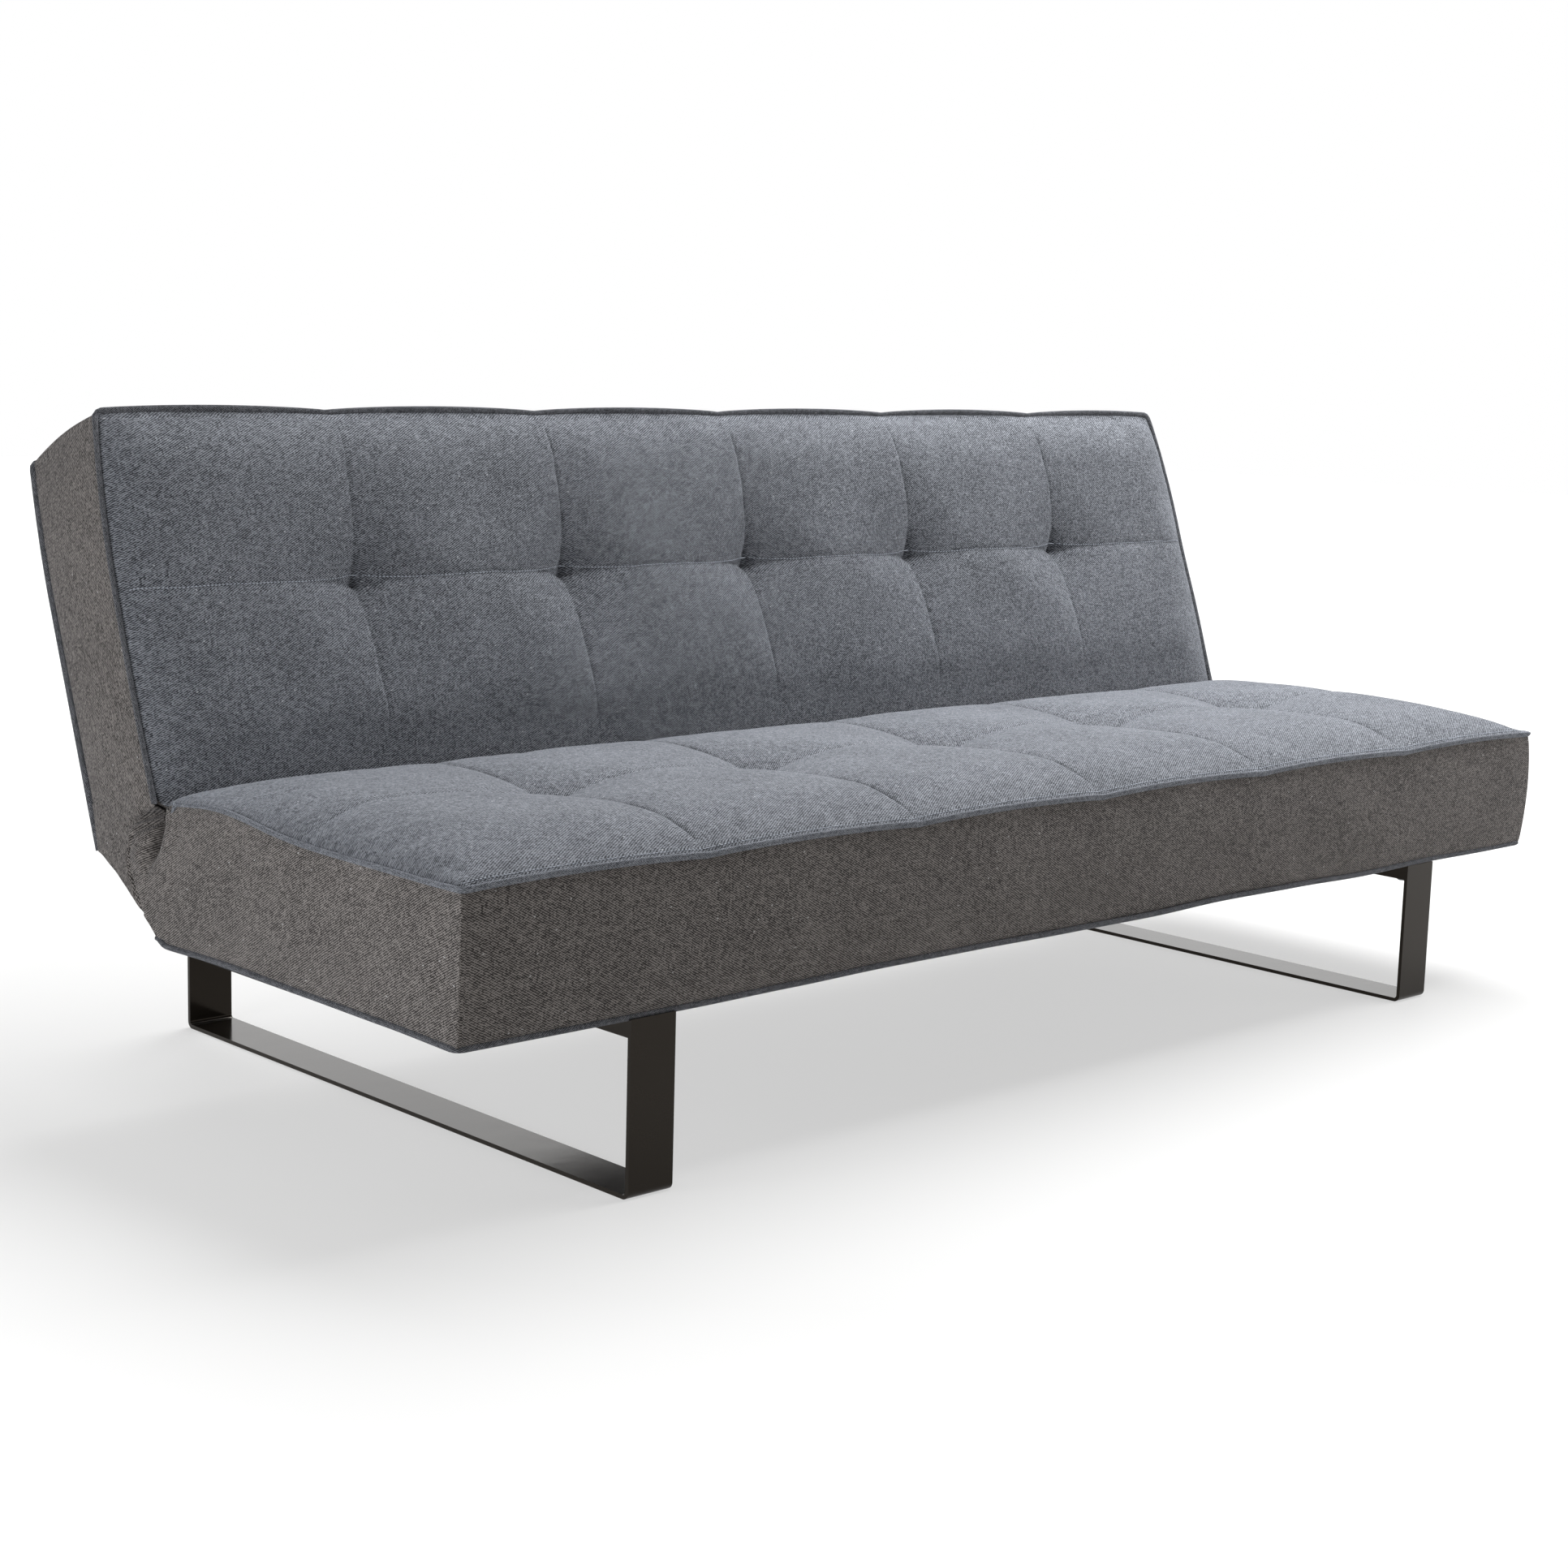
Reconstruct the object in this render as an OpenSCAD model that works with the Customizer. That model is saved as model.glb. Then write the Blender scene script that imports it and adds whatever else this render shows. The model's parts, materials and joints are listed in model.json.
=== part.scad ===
// Click-clack sofa bed: a quilted seat pad and back pad in one woven cover, on two flat-bar sled legs.
// Millimetres. The origin is on the floor under the middle, +X runs along the length, the front faces -Y.
// The back turns on two side hinges: drawn in its sofa position, it folds down flat behind the seat.

/* [Overall] */
// Length over the side piping
overall_w = 1880; // [1700:10:2000]
// Depth from the front piping to the rear of the legs
overall_d = 880; // [860:5:900]
// Height of the leg frames, floor to the underside of the seat
leg_h = 192; // [160:2:220]
// Lean of the back from upright in the sofa position
recline = 18; // [15:1:20]

/* [Seat pad] */
// Thickness of the seat pad at its top piping
seat_t = 163; // [158:1:168]
// Rise of the seat pad's crown above the piping
seat_crown = 37; // [20:1:40]
// Distance that the front boxing tucks back at its hem
front_tuck = 12; // [6:1:14]

/* [Back pad] */
// Length of the back pad above its pivot
back_l = 532; // [500:2:560]
// Rise of the back pad's crown above its piping
back_crown = 23; // [10:1:25]
// Distance that the rear panel is shorter than the front panel at the top
top_slope = 16; // [0:1:20]

/* [Quilting] */
// Number of columns that the tufts divide each pad into
columns = 6; // [4:2:8]
// Radius of the piping
piping_r = 4; // [3:0.5:4]

/* [Legs] */
// Width of the flat bar
bar_w = 60; // [40:2:80]
// Thickness of the flat bar
bar_t = 5; // [4:1:8]
// Distance of each leg frame's centre from the middle
leg_x = 690; // [640:5:760]
// Height of the rectangular tube across the top of each leg frame
tube_h = 20; // [16:1:25]

/* [Timber frames] */
// Width of the seat frame's rails
rail_w = 30; // [24:1:34]
// Width of the back frame's rails
back_rail_w = 45; // [35:1:50]

/* [Hinges] */
// Distance from the rear of the legs to the pivot
pivot_set = 222; // [215:1:230]
// Thickness of the hinge plates
plate_t = 4; // [3:0.5:4]
// Radius of the ratchet disc
disc_r = 36; // [32:1:38]
// Radius of the pivot pin
pin_r = 6; // [5:0.5:7]

/* [Part] */

/* [Hidden] */
$fn = 64;

cloth = [0.33, 0.36, 0.42];
edge_cloth = [0.27, 0.29, 0.34];
under_cloth = [0.1, 0.1, 0.11];
foam_col = [0.93, 0.9, 0.76];
wadding_col = [0.95, 0.95, 0.93];
felt_col = [0.45, 0.43, 0.4];
timber = [0.78, 0.62, 0.42];
black_steel = [0.05, 0.05, 0.055];
zinc = [0.72, 0.73, 0.75];
twine = [0.85, 0.8, 0.68];

half_w = overall_w / 2;
skin = 2;
cover_x = half_w - 2;
piping_x = half_w - piping_r;
gap = 0.05;

// Pivot line of the back, measured from the front piping and from the floor
pivot_y = overall_d - pivot_set;
pivot_z = leg_h + 46;

// The back folds flat with its front panel level with the seat piping
front_n = seat_t - 46;
rear_n = 44;
rear_n_low = 28;
lobe_u = 60.9;
lobe_r = norm([lobe_u, front_n]);
top_u = back_l - 2;

// Forward travel that lifts the ratchet out, past the sofa position
release = 10;
lean_min = recline - release;
seat_gap = front_n + 0.3;
seat_arc_r = lobe_r + 2.1;

seat_top = leg_h + seat_t;
frame_z = leg_h;
frame_top = leg_h + 45;
hem_z = leg_h + piping_r + 0.2;
seat_cavity_x = 890;
seat_frame_y0 = 20;
seat_frame_y1 = pivot_y - seat_arc_r - 4;
frame_x = 875;
tuft_y = 271;
tuft_u = 320;
column_w = overall_w / columns;
tuft_xs = [for (i = [1:columns - 1]) -half_w + i * column_w];
spring_xs = [for (i = [1:columns - 1]) for (s = [-1, 1]) -half_w + (i + s / 4) * column_w];

arm_x = frame_x;
disc_x = arm_x + plate_t + 0.5;
slot_r = lobe_r + 6;
pawl_y = pivot_y - 70;
pawl_z = pivot_z - 12;
pawl_reach = norm([70, 12]);
nose_len = pawl_reach - disc_r - 0.5;
pawl_aim = atan2(12, 70);

// Places a shape given from the front piping line
module from_front() {
    translate([0, -overall_d / 2, 0]) children();
}

// Places a shape given from the pivot: +Y runs up the back and +Z leaves its front panel
module on_back() {
    translate([0, -overall_d / 2 + pivot_y, pivot_z]) rotate([90 - recline, 0, 0]) children();
}

// Extrudes a (Y, Z) profile along X
module along_x(x0, x1) {
    translate([x0, 0, 0]) rotate([90, 0, 90]) linear_extrude(height = x1 - x0) children();
}

// Extrudes an (X, Z) profile along Y
module along_y(y0, y1) {
    translate([0, y1, 0]) rotate([90, 0, 0]) linear_extrude(height = y1 - y0) children();
}

module box(x0, x1, y0, y1, z0, z1) {
    translate([x0, y0, z0]) cube([x1 - x0, y1 - y0, z1 - z0]);
}

// Twelve-sided bar between two points, run on past both ends
module rod(a, b, r, past) {
    d = b - a;
    translate(a) rotate([0, acos(d[2] / norm(d)), atan2(d[1], d[0])]) {
        translate([0, 0, -past]) cylinder(h = norm(d) + 2 * past, r = r, $fn = 12);
    }
}

// Piping through a list of points, its lengths crossing at the corners
module cord(pts, r) {
    for (i = [0:len(pts) - 2]) rod(pts[i], pts[i + 1], r, piping_r - 0.5);
}

// Round pin along X
module x_pin(x0, x1, y, z, r) {
    translate([x0, y, z]) rotate([0, 90, 0]) cylinder(h = x1 - x0, r = r);
}

function arch(t, p) = 1 - pow(abs(t), p);

// Arched outline from -half to half, on a flat base
function arch_points(half, z0, rise, p, n) = concat(
    [[half, z0 - 1], [-half, z0 - 1]],
    [for (i = [0:n]) let (t = -cos(180 * i / n)) [half * t, z0 + rise * arch(t, p)]]
);

// Low crown, arched both ways
module crown(x_half, y0, y1, z0, rise) {
    mid = (y0 + y1) / 2;
    intersection() {
        along_y(y0, y1) polygon(arch_points(x_half, z0, rise, 10, 20));
        translate([0, mid, 0]) along_x(-x_half, x_half) polygon(arch_points((y1 - y0) / 2, z0, rise, 4, 16));
    }
}

// ---------------------------------------------------------------- legs

// Flat bar bent into a sled: two uprights and a floor bar, with rounded bends
module sled_profile() {
    bend = bar_t + 4;
    y0 = 8;
    y1 = overall_d;
    difference() {
        union() {
            translate([y0, bend]) square([y1 - y0, leg_h - bend]);
            translate([y0 + bend, 0]) square([y1 - y0 - 2 * bend, leg_h]);
            translate([y0 + bend, bend]) circle(r = bend);
            translate([y1 - bend, bend]) circle(r = bend);
        }
        union() {
            translate([y0 + bar_t, bend]) square([y1 - y0 - 2 * bar_t, leg_h]);
            translate([y0 + bend, bar_t]) square([y1 - y0 - 2 * bend, leg_h]);
            translate([y0 + bend, bend]) circle(r = bend - bar_t);
            translate([y1 - bend, bend]) circle(r = bend - bar_t);
        }
    }
}

// Weld beads between the uprights and the top tube
module weld_profile() {
    z = leg_h - tube_h;
    w = 4;
    translate([8 + bar_t, z]) polygon([[0, 0], [w, 0], [0, -w]]);
    translate([overall_d - bar_t, z]) polygon([[0, 0], [-w, 0], [0, -w]]);
}

module leg(s) {
    color(black_steel) from_front() {
        along_x(s * leg_x - bar_w / 2, s * leg_x + bar_w / 2) sled_profile();
        along_x(s * leg_x - bar_w / 2 + 3, s * leg_x + bar_w / 2 - 3) weld_profile();
    }
}

bolt_ys = [seat_frame_y0 + 15, tuft_y, seat_frame_y1 - 15];

module leg_bolt_bores(r) {
    for (s = [-1, 1]) for (y = bolt_ys) translate([s * leg_x, y, leg_h - tube_h - 1]) cylinder(h = 55, r = r);
}

module leg_tube(s) {
    wall = 2;
    y0 = 8 + bar_t;
    y1 = overall_d - bar_t;
    color(black_steel) from_front() difference() {
        box(s * leg_x - bar_w / 2, s * leg_x + bar_w / 2, y0, y1, leg_h - tube_h, leg_h);
        box(s * leg_x - bar_w / 2 + wall, s * leg_x + bar_w / 2 - wall, y0 + wall, y1 - wall,
            leg_h - tube_h + wall, leg_h - wall);
        leg_bolt_bores(4 + gap);
    }
}

module leg_left() leg(-1);

module leg_right() leg(1);

module leg_tube_left() leg_tube(-1);

module leg_tube_right() leg_tube(1);

// Hex bolts up through the tubes into the timber frame
module leg_bolts() {
    color(zinc) from_front() for (s = [-1, 1]) for (y = bolt_ys) translate([s * leg_x, y, 0]) {
        translate([0, 0, leg_h - tube_h - 1.6]) cylinder(h = 1.6, r = 9);
        translate([0, 0, leg_h - tube_h - 6.9]) cylinder(h = 5.3, r = 7.5, $fn = 6);
        translate([0, 0, leg_h - tube_h - 2]) cylinder(h = 44, r = 4);
    }
}

// ---------------------------------------------------------------- seat frame

// Wood screws through the front and rear rails into the side and cross rails
module seat_screw_set(r, head_r) {
    for (s = [-1, 1]) for (x = [leg_x, frame_x - rail_w / 2]) for (z = [frame_z + 8, frame_z + 22]) {
        translate([s * x, seat_frame_y0, z]) rotate([-90, 0, 0]) {
            cylinder(h = 80, r = r);
            cylinder(h = 3, r1 = head_r, r2 = r);
        }
        translate([s * x, seat_frame_y1, z]) rotate([90, 0, 0]) {
            cylinder(h = 80, r = r);
            cylinder(h = 3, r1 = head_r, r2 = r);
        }
    }
}

module seat_frame_screws() {
    color(zinc) from_front() difference() {
        seat_screw_set(2.4, 4.8);
        leg_bolt_bores(4.6);
    }
}

module seat_rail(y0) {
    color(timber) from_front() difference() {
        box(-frame_x, frame_x, y0, y0 + rail_w, frame_z, frame_top);
        leg_bolt_bores(4 + gap);
        seat_screw_set(2.4 + gap, 4.8 + gap);
    }
}

module seat_rail_front() seat_rail(seat_frame_y0);

module seat_rail_rear() seat_rail(seat_frame_y1 - rail_w);

module seat_side_rails() {
    color(timber) from_front() difference() {
        for (s = [-1, 1]) {
            x = s * (frame_x - rail_w / 2);
            box(x - rail_w / 2, x + rail_w / 2, seat_frame_y0 + rail_w, seat_frame_y1 - rail_w, frame_z, frame_top);
        }
        seat_screw_set(2.4 + gap, 4.8 + gap);
        seat_hinge_bolt_bores(4 + gap);
    }
}

module seat_cross_rails() {
    color(timber) from_front() difference() {
        for (x = [-leg_x, 0, leg_x]) {
            box(x - 22, x + 22, seat_frame_y0 + rail_w, seat_frame_y1 - rail_w, frame_z, frame_z + 30);
        }
        leg_bolt_bores(4 + gap);
        seat_screw_set(2.4 + gap, 4.8 + gap);
    }
}

// ---------------------------------------------------------------- springs

function wave_x(t, n, amp) = amp * sin(360 * n * t);

function wave_slope(t, n, amp, len) = amp * 2 * PI * n * cos(360 * n * t) / len;

// Outline of one side of a sinuous wire
function wave_side(n, amp, len, off, steps) = [
    for (i = [0:steps]) let (t = i / steps, m = wave_slope(t, n, amp, len), k = off / sqrt(1 + m * m))
        [wave_x(t, n, amp) + k, t * len - k * m]
];

// Sinuous spring lying flat, running along +Y
module wave_spring(len, n, amp, wire) {
    steps = n * 8;
    a = wave_side(n, amp, len, wire / 2, steps);
    b = wave_side(n, amp, len, -wire / 2, steps);
    linear_extrude(height = wire) polygon(concat(a, [for (i = [steps:-1:0]) b[i]]));
}

module spring_clip_pair(len, wire) {
    for (y = [6, len - 18]) translate([-9, y, 0]) difference() {
        cube([18, 12, wire + 1.5]);
        translate([3, -1, -1]) cube([12, 14, wire + 1.1]);
    }
}

wire = 3.8;
seat_spring_y0 = seat_frame_y0 + 6;
seat_spring_l = seat_frame_y1 - seat_frame_y0 - 12;

module seat_springs() {
    color(zinc) from_front() for (x = spring_xs) {
        translate([x, seat_spring_y0, frame_top]) wave_spring(seat_spring_l, 9, 20, wire);
    }
}

module seat_spring_clips() {
    color(black_steel) from_front() for (x = spring_xs) for (y = [0, 1]) {
        translate([x + 26, y == 0 ? seat_spring_y0 : seat_frame_y1 - 18, frame_top]) cube([8, 12, 2]);
    }
}

module seat_felt() {
    z = frame_top + wire;
    color(felt_col) from_front() difference() {
        box(-frame_x, frame_x, seat_frame_y0, seat_frame_y1, z, z + 2);
        tuft_bores(z - 1, 4, 3);
    }
}

// Vertical holes at the tufts
module tuft_bores(z, h, r) {
    for (x = tuft_xs) translate([x, tuft_y, z]) cylinder(h = h, r = r);
}

// ---------------------------------------------------------------- seat pad

// Depth of the seat pad's rear face at a height, kept clear of the back at its furthest forward
function seat_rear_y(z, t) = pivot_y + (sin(lean_min) * (z - pivot_z) - seat_gap - t) / cos(lean_min);

module seat_profile(t) {
    z0 = leg_h + 8;
    z1 = seat_top - t;
    difference() {
        polygon([
            [2 + t, z1],
            [2 + t + front_tuck, z0],
            [seat_rear_y(z0, t), z0],
            [seat_rear_y(z1, t), z1]
        ]);
        translate([pivot_y, pivot_z]) circle(r = seat_arc_r + t, $fn = 120);
    }
}

module seat_solid(t) {
    along_x(-cover_x + t, cover_x - t) seat_profile(t);
    crown(cover_x - t, 2 + t, seat_rear_y(seat_top, t) - 1, seat_top - t, seat_crown);
}

module seat_top_piping(r) {
    y1 = seat_rear_y(seat_top, 0) - 8;
    z = seat_top - 2;
    cord([[-piping_x, y1, z], [-piping_x, piping_r, z], [piping_x, piping_r, z], [piping_x, y1, z]], r);
}

module seat_hem(r) {
    y0 = front_tuck + piping_r;
    y1 = seat_frame_y1;
    cord([[-piping_x, y1, hem_z], [-piping_x, y0, hem_z], [piping_x, y0, hem_z], [piping_x, y1, hem_z]], r);
}

module seat_cavity() {
    box(-seat_cavity_x, seat_cavity_x, seat_frame_y0, pivot_y, leg_h, frame_top + wire + 2);
}

wadding_z = seat_top - skin - 8;

module seat_foam() {
    color(foam_col) from_front() difference() {
        intersection() {
            along_x(-cover_x + skin, cover_x - skin) seat_profile(skin);
            box(-half_w, half_w, 0, pivot_y, leg_h + 8, wadding_z);
        }
        seat_cavity();
        seat_hem(piping_r + gap);
        tuft_bores(frame_top, seat_t, 3);
    }
}

module seat_wadding() {
    color(wadding_col) from_front() difference() {
        intersection() {
            seat_solid(skin);
            box(-half_w, half_w, 0, pivot_y, wadding_z, seat_top + seat_crown + 10);
        }
        seat_top_piping(piping_r + gap);
        tuft_bores(frame_top, seat_t + seat_crown - 26, 5);
    }
}

// Twine loops that pull the tufts down, with a washer under the felt and a toggle on top
module seat_tuft_ties() {
    z = frame_top + wire;
    color(twine) from_front() for (x = tuft_xs) translate([x, tuft_y, 0]) {
        translate([0, 0, z - 1.6]) cylinder(h = 1.6, r = 9);
        translate([0, 0, z - 1]) cylinder(h = seat_top + 19 - z, r = 1.2);
        translate([0, 0, seat_top + 18]) sphere(r = 4);
    }
}

module seat_cover() {
    color(cloth) from_front() difference() {
        seat_solid(0);
        seat_solid(skin);
        box(-cover_x + skin, cover_x - skin, 2, pivot_y, leg_h, leg_h + 9);
        seat_top_piping(piping_r + gap);
        seat_hem(piping_r + gap);
        for (s = [-1, 1]) box(s * 880 - 12, s * 880 + 12, 480, pivot_y, leg_h, frame_top + 12);
    }
}

module seat_piping() {
    color(edge_cloth) from_front() seat_top_piping(piping_r);
}

module seat_hem_piping() {
    color(edge_cloth) from_front() seat_hem(piping_r);
}

// Thin lining stapled under the frame, between and beside the leg frames
module seat_dust_cover() {
    x0 = leg_x - bar_w / 2 - 2;
    x1 = leg_x + bar_w / 2 + 2;
    color(under_cloth) from_front() {
        for (xs = [[-half_w + 10, -x1], [-x0, x0], [x1, half_w - 10]]) {
            box(xs[0], xs[1], seat_frame_y0, seat_frame_y1, leg_h - 1, leg_h);
        }
    }
}

// ---------------------------------------------------------------- hinges

seat_bolt_ys = [seat_frame_y1 - 110, seat_frame_y1 - 70, seat_frame_y1 - 40];
back_bolt_us = [73.5, 110, 150];

module seat_hinge_bolt_bores(r) {
    for (s = [-1, 1]) for (y = seat_bolt_ys) x_pin(s * 862 - 30, s * 862 + 30, y, frame_z + 15, r);
}

// Flat arm from the seat's side rail to the pivot, with the pawl's boss part way along
module seat_arm_profile() {
    y0 = seat_bolt_ys[0] - 16;
    difference() {
        union() {
            translate([y0, frame_z + 3]) square([seat_frame_y1 - y0, 26]);
            polygon([
                [seat_frame_y1 - 1, frame_z + 3],
                [pivot_y - 3, pivot_z - 21.7],
                [pivot_y + 3, pivot_z + 21.7],
                [seat_frame_y1 - 1, frame_z + 29]
            ]);
            translate([pivot_y, pivot_z]) circle(r = 22);
            translate([pawl_y, pawl_z]) circle(r = 14);
        }
        translate([pivot_y, pivot_z]) circle(r = pin_r + gap);
        translate([pawl_y, pawl_z]) circle(r = 3.5 + gap);
        for (y = seat_bolt_ys) translate([y, frame_z + 15]) circle(r = 4 + gap);
    }
}

// Spans between two distances from the middle, on either side
module on_side(s, x0, x1) {
    if (s > 0) along_x(x0, x1) children();
    else along_x(-x1, -x0) children();
}

module seat_hinge_arm(s) {
    color(zinc) from_front() on_side(s, arm_x, arm_x + plate_t) seat_arm_profile();
}

module seat_hinge_arm_left() seat_hinge_arm(-1);

module seat_hinge_arm_right() seat_hinge_arm(1);

module disc_2d(r, y, z) {
    translate([y, z]) circle(r = r);
}

// Shouldered pivot pin with a head outside and a nut inside
module hinge_pins() {
    color(zinc) from_front() for (s = [-1, 1]) {
        on_side(s, arm_x - 6, disc_x + plate_t + 1) disc_2d(pin_r, pivot_y, pivot_z);
        on_side(s, disc_x + plate_t + 0.3, disc_x + plate_t + 5) disc_2d(11, pivot_y, pivot_z);
        on_side(s, arm_x - 6, arm_x) translate([pivot_y, pivot_z]) circle(r = 10, $fn = 6);
    }
}

module seat_hinge_bolts() {
    color(zinc) from_front() for (s = [-1, 1]) for (y = seat_bolt_ys) {
        on_side(s, frame_x - rail_w, arm_x + plate_t) disc_2d(4, y, frame_z + 15);
        on_side(s, arm_x + plate_t, arm_x + plate_t + 4) disc_2d(8, y, frame_z + 15);
        on_side(s, frame_x - rail_w - 6, frame_x - rail_w) translate([y, frame_z + 15]) circle(r = 7.5, $fn = 6);
    }
}

module pawl_pins() {
    color(zinc) from_front() for (s = [-1, 1]) {
        on_side(s, arm_x - 2, disc_x + plate_t + 5) disc_2d(3.5, pawl_y, pawl_z);
        on_side(s, disc_x + plate_t + 5, disc_x + plate_t + 6.5) disc_2d(7, pawl_y, pawl_z);
        on_side(s, arm_x - 2, arm_x) disc_2d(6, pawl_y, pawl_z);
    }
}

// Wire coil round the pawl's pin
module pawl_springs() {
    color(zinc) from_front() for (s = [-1, 1]) for (i = [0:2]) {
        translate([s * (disc_x + plate_t + 1 + i * 1.3), pawl_y, pawl_z]) rotate([0, 90, 0]) {
            rotate_extrude() translate([4.4, 0]) circle(r = 0.7, $fn = 24);
        }
    }
}

// Lever whose nose meets the ratchet disc
module pawl_profile() {
    difference() {
        union() {
            circle(r = 8);
            polygon([[0, -8], [nose_len, -2.5], [nose_len, 2.5], [0, 8]]);
            polygon([[0, 6], [-6, 22], [-12, 22], [-7.5, 0]]);
        }
        circle(r = 3.5 + gap);
    }
}

module pawl(s) {
    color(zinc) from_front() on_side(s, disc_x, disc_x + plate_t) {
        translate([pawl_y, pawl_z]) rotate(pawl_aim) pawl_profile();
    }
}

module pawl_left() pawl(-1);

module pawl_right() pawl(1);

// Toothed disc and strap on the back's side rail
module back_arm_profile() {
    difference() {
        union() {
            circle(r = disc_r);
            translate([0, -22]) square([170, 26]);
        }
        for (i = [0:8]) rotate(108 + i * 10) translate([disc_r, 0]) polygon([[1, -2], [1, 3], [-4, 1]]);
        circle(r = pin_r + gap);
        for (u = back_bolt_us) translate([u, -9]) circle(r = 4 + gap);
    }
}

module back_hinge_arm(s) {
    color(zinc) on_back() on_side(s, disc_x, disc_x + plate_t) back_arm_profile();
}

module back_hinge_arm_left() back_hinge_arm(-1);

module back_hinge_arm_right() back_hinge_arm(1);

back_frame_x = disc_x;

module back_hinge_bolts() {
    color(zinc) on_back() for (s = [-1, 1]) for (u = back_bolt_us) {
        on_side(s, back_frame_x - back_rail_w, disc_x + plate_t) disc_2d(4, u, -9);
        on_side(s, disc_x + plate_t, disc_x + plate_t + 4) disc_2d(8, u, -9);
        on_side(s, back_frame_x - back_rail_w - 6, back_frame_x - back_rail_w) {
            translate([u, -9]) circle(r = 7.5, $fn = 6);
        }
    }
}

// ---------------------------------------------------------------- back frame

back_u0 = 50;
back_u1 = top_u - 24;
back_frame_n0 = -24;
back_frame_n1 = 6;
back_cross_xs = [-420, 0, 420];

module back_screw_set(r, head_r) {
    for (s = [-1, 1]) for (u = [back_u0 + 15, back_u0 + 32, back_u1 - 15, back_u1 - 32]) {
        translate([s * back_frame_x, u, -2]) rotate([0, -90 * s, 0]) {
            cylinder(h = 90, r = r);
            cylinder(h = 3, r1 = head_r, r2 = r);
        }
    }
}

module back_side_rails() {
    color(timber) on_back() difference() {
        for (s = [-1, 1]) {
            x = s * (back_frame_x - back_rail_w / 2);
            box(x - back_rail_w / 2, x + back_rail_w / 2, back_u0, back_u1, back_frame_n0, back_frame_n1);
        }
        back_screw_set(2.4 + gap, 4.8 + gap);
        for (s = [-1, 1]) for (u = back_bolt_us) x_pin(s * 860 - 40, s * 860 + 40, u, -9, 4 + gap);
    }
}

module back_rail(u0) {
    x = back_frame_x - back_rail_w;
    color(timber) on_back() difference() {
        box(-x, x, u0, u0 + back_rail_w, back_frame_n0, back_frame_n1);
        back_screw_set(2.4 + gap, 4.8 + gap);
        for (s = [-1, 1]) for (u = back_bolt_us) x_pin(s * 830 - 9, s * 830 + 9, u, -9, 9);
    }
}

module back_rail_bottom() back_rail(back_u0);

module back_rail_top() back_rail(back_u1 - back_rail_w);

module back_cross_rails() {
    color(timber) on_back() for (x = back_cross_xs) {
        box(x - 22, x + 22, back_u0 + back_rail_w, back_u1 - back_rail_w, back_frame_n0, -4);
    }
}

module back_frame_screws() {
    color(zinc) on_back() difference() {
        back_screw_set(2.4, 4.8);
        for (s = [-1, 1]) for (u = back_bolt_us) x_pin(s * 860 - 40, s * 860 + 40, u, -9, 4.6);
    }
}

module back_springs() {
    color(zinc) on_back() for (x = spring_xs) {
        translate([x, back_u0 + 8, back_frame_n1]) wave_spring(back_u1 - back_u0 - 16, 8, 20, wire);
    }
}

module back_spring_clips() {
    color(black_steel) on_back() for (x = spring_xs) for (u = [back_u0 + 8, back_u1 - 20]) {
        translate([x + 26, u, back_frame_n1]) cube([8, 12, 2]);
    }
}

module back_felt() {
    n = back_frame_n1 + wire;
    color(felt_col) on_back() difference() {
        box(-875, 875, back_u0, back_u1, n, n + 2);
        for (x = tuft_xs) translate([x, tuft_u, n - 1]) cylinder(h = 4, r = 3);
    }
}

// ---------------------------------------------------------------- back pad

// Side profile of the back pad: rounded under the pivot, thinner at the bottom than at the top
module back_profile(t) {
    r = rear_n_low - t;
    polygon(concat(
        [[-lobe_u + t, front_n - t], [top_u - t, front_n - t], [top_u - top_slope - t, -rear_n + t], [30, -r]],
        [for (a = [270:-10:180]) [r * cos(a), r * sin(a)]]
    ));
}

crown_u0 = 103;

module back_solid(t) {
    along_x(-cover_x + t, cover_x - t) back_profile(t);
    crown(cover_x - t, crown_u0, top_u - t, front_n - t, back_crown);
}

// Front piping: up one side, along the top and down the other
module front_cord(r) {
    n = front_n - piping_r;
    u1 = back_l - piping_r;
    cord([[-piping_x, 92, n], [-piping_x, u1, n], [piping_x, u1, n], [piping_x, 92, n]], r);
}

module rear_cord(r) {
    n1 = -rear_n + piping_r;
    u1 = top_u - top_slope - 1;
    cord([[-piping_x, 62, -24], [-piping_x, u1, n1], [piping_x, u1, n1], [piping_x, 62, -24]], r);
}

// Room round the hinge plates, with the whole of the seat's arm inside it
module hinge_slots() {
    for (s = [-1, 1]) on_side(s, arm_x - 9, disc_x + plate_t + 8) circle(r = slot_r, $fn = 96);
}

module back_cavity() {
    n1 = back_frame_n1 + wire + 2;
    box(-seat_cavity_x, seat_cavity_x, back_u0 - 1, back_u1 + 1, -rear_n, n1);
    for (s = [-1, 1]) box(s * 884 - 9, s * 884 + 9, 0, 175, -30, n1);
}

back_wadding_n = front_n - skin - 8;

module back_foam() {
    color(foam_col) on_back() difference() {
        intersection() {
            along_x(-cover_x + skin, cover_x - skin) back_profile(skin);
            box(-half_w, half_w, -lobe_r, back_l, -rear_n, back_wadding_n);
        }
        back_cavity();
        hinge_slots();
        rear_cord(piping_r + gap);
        for (x = tuft_xs) translate([x, tuft_u, 0]) cylinder(h = seat_t, r = 3);
    }
}

module back_wadding() {
    color(wadding_col) on_back() difference() {
        intersection() {
            back_solid(skin);
            box(-half_w, half_w, -lobe_r, back_l, back_wadding_n, front_n + back_crown + 10);
        }
        hinge_slots();
        front_cord(piping_r + gap);
        for (x = tuft_xs) translate([x, tuft_u, 0]) cylinder(h = front_n + 8, r = 5);
    }
}

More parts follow.
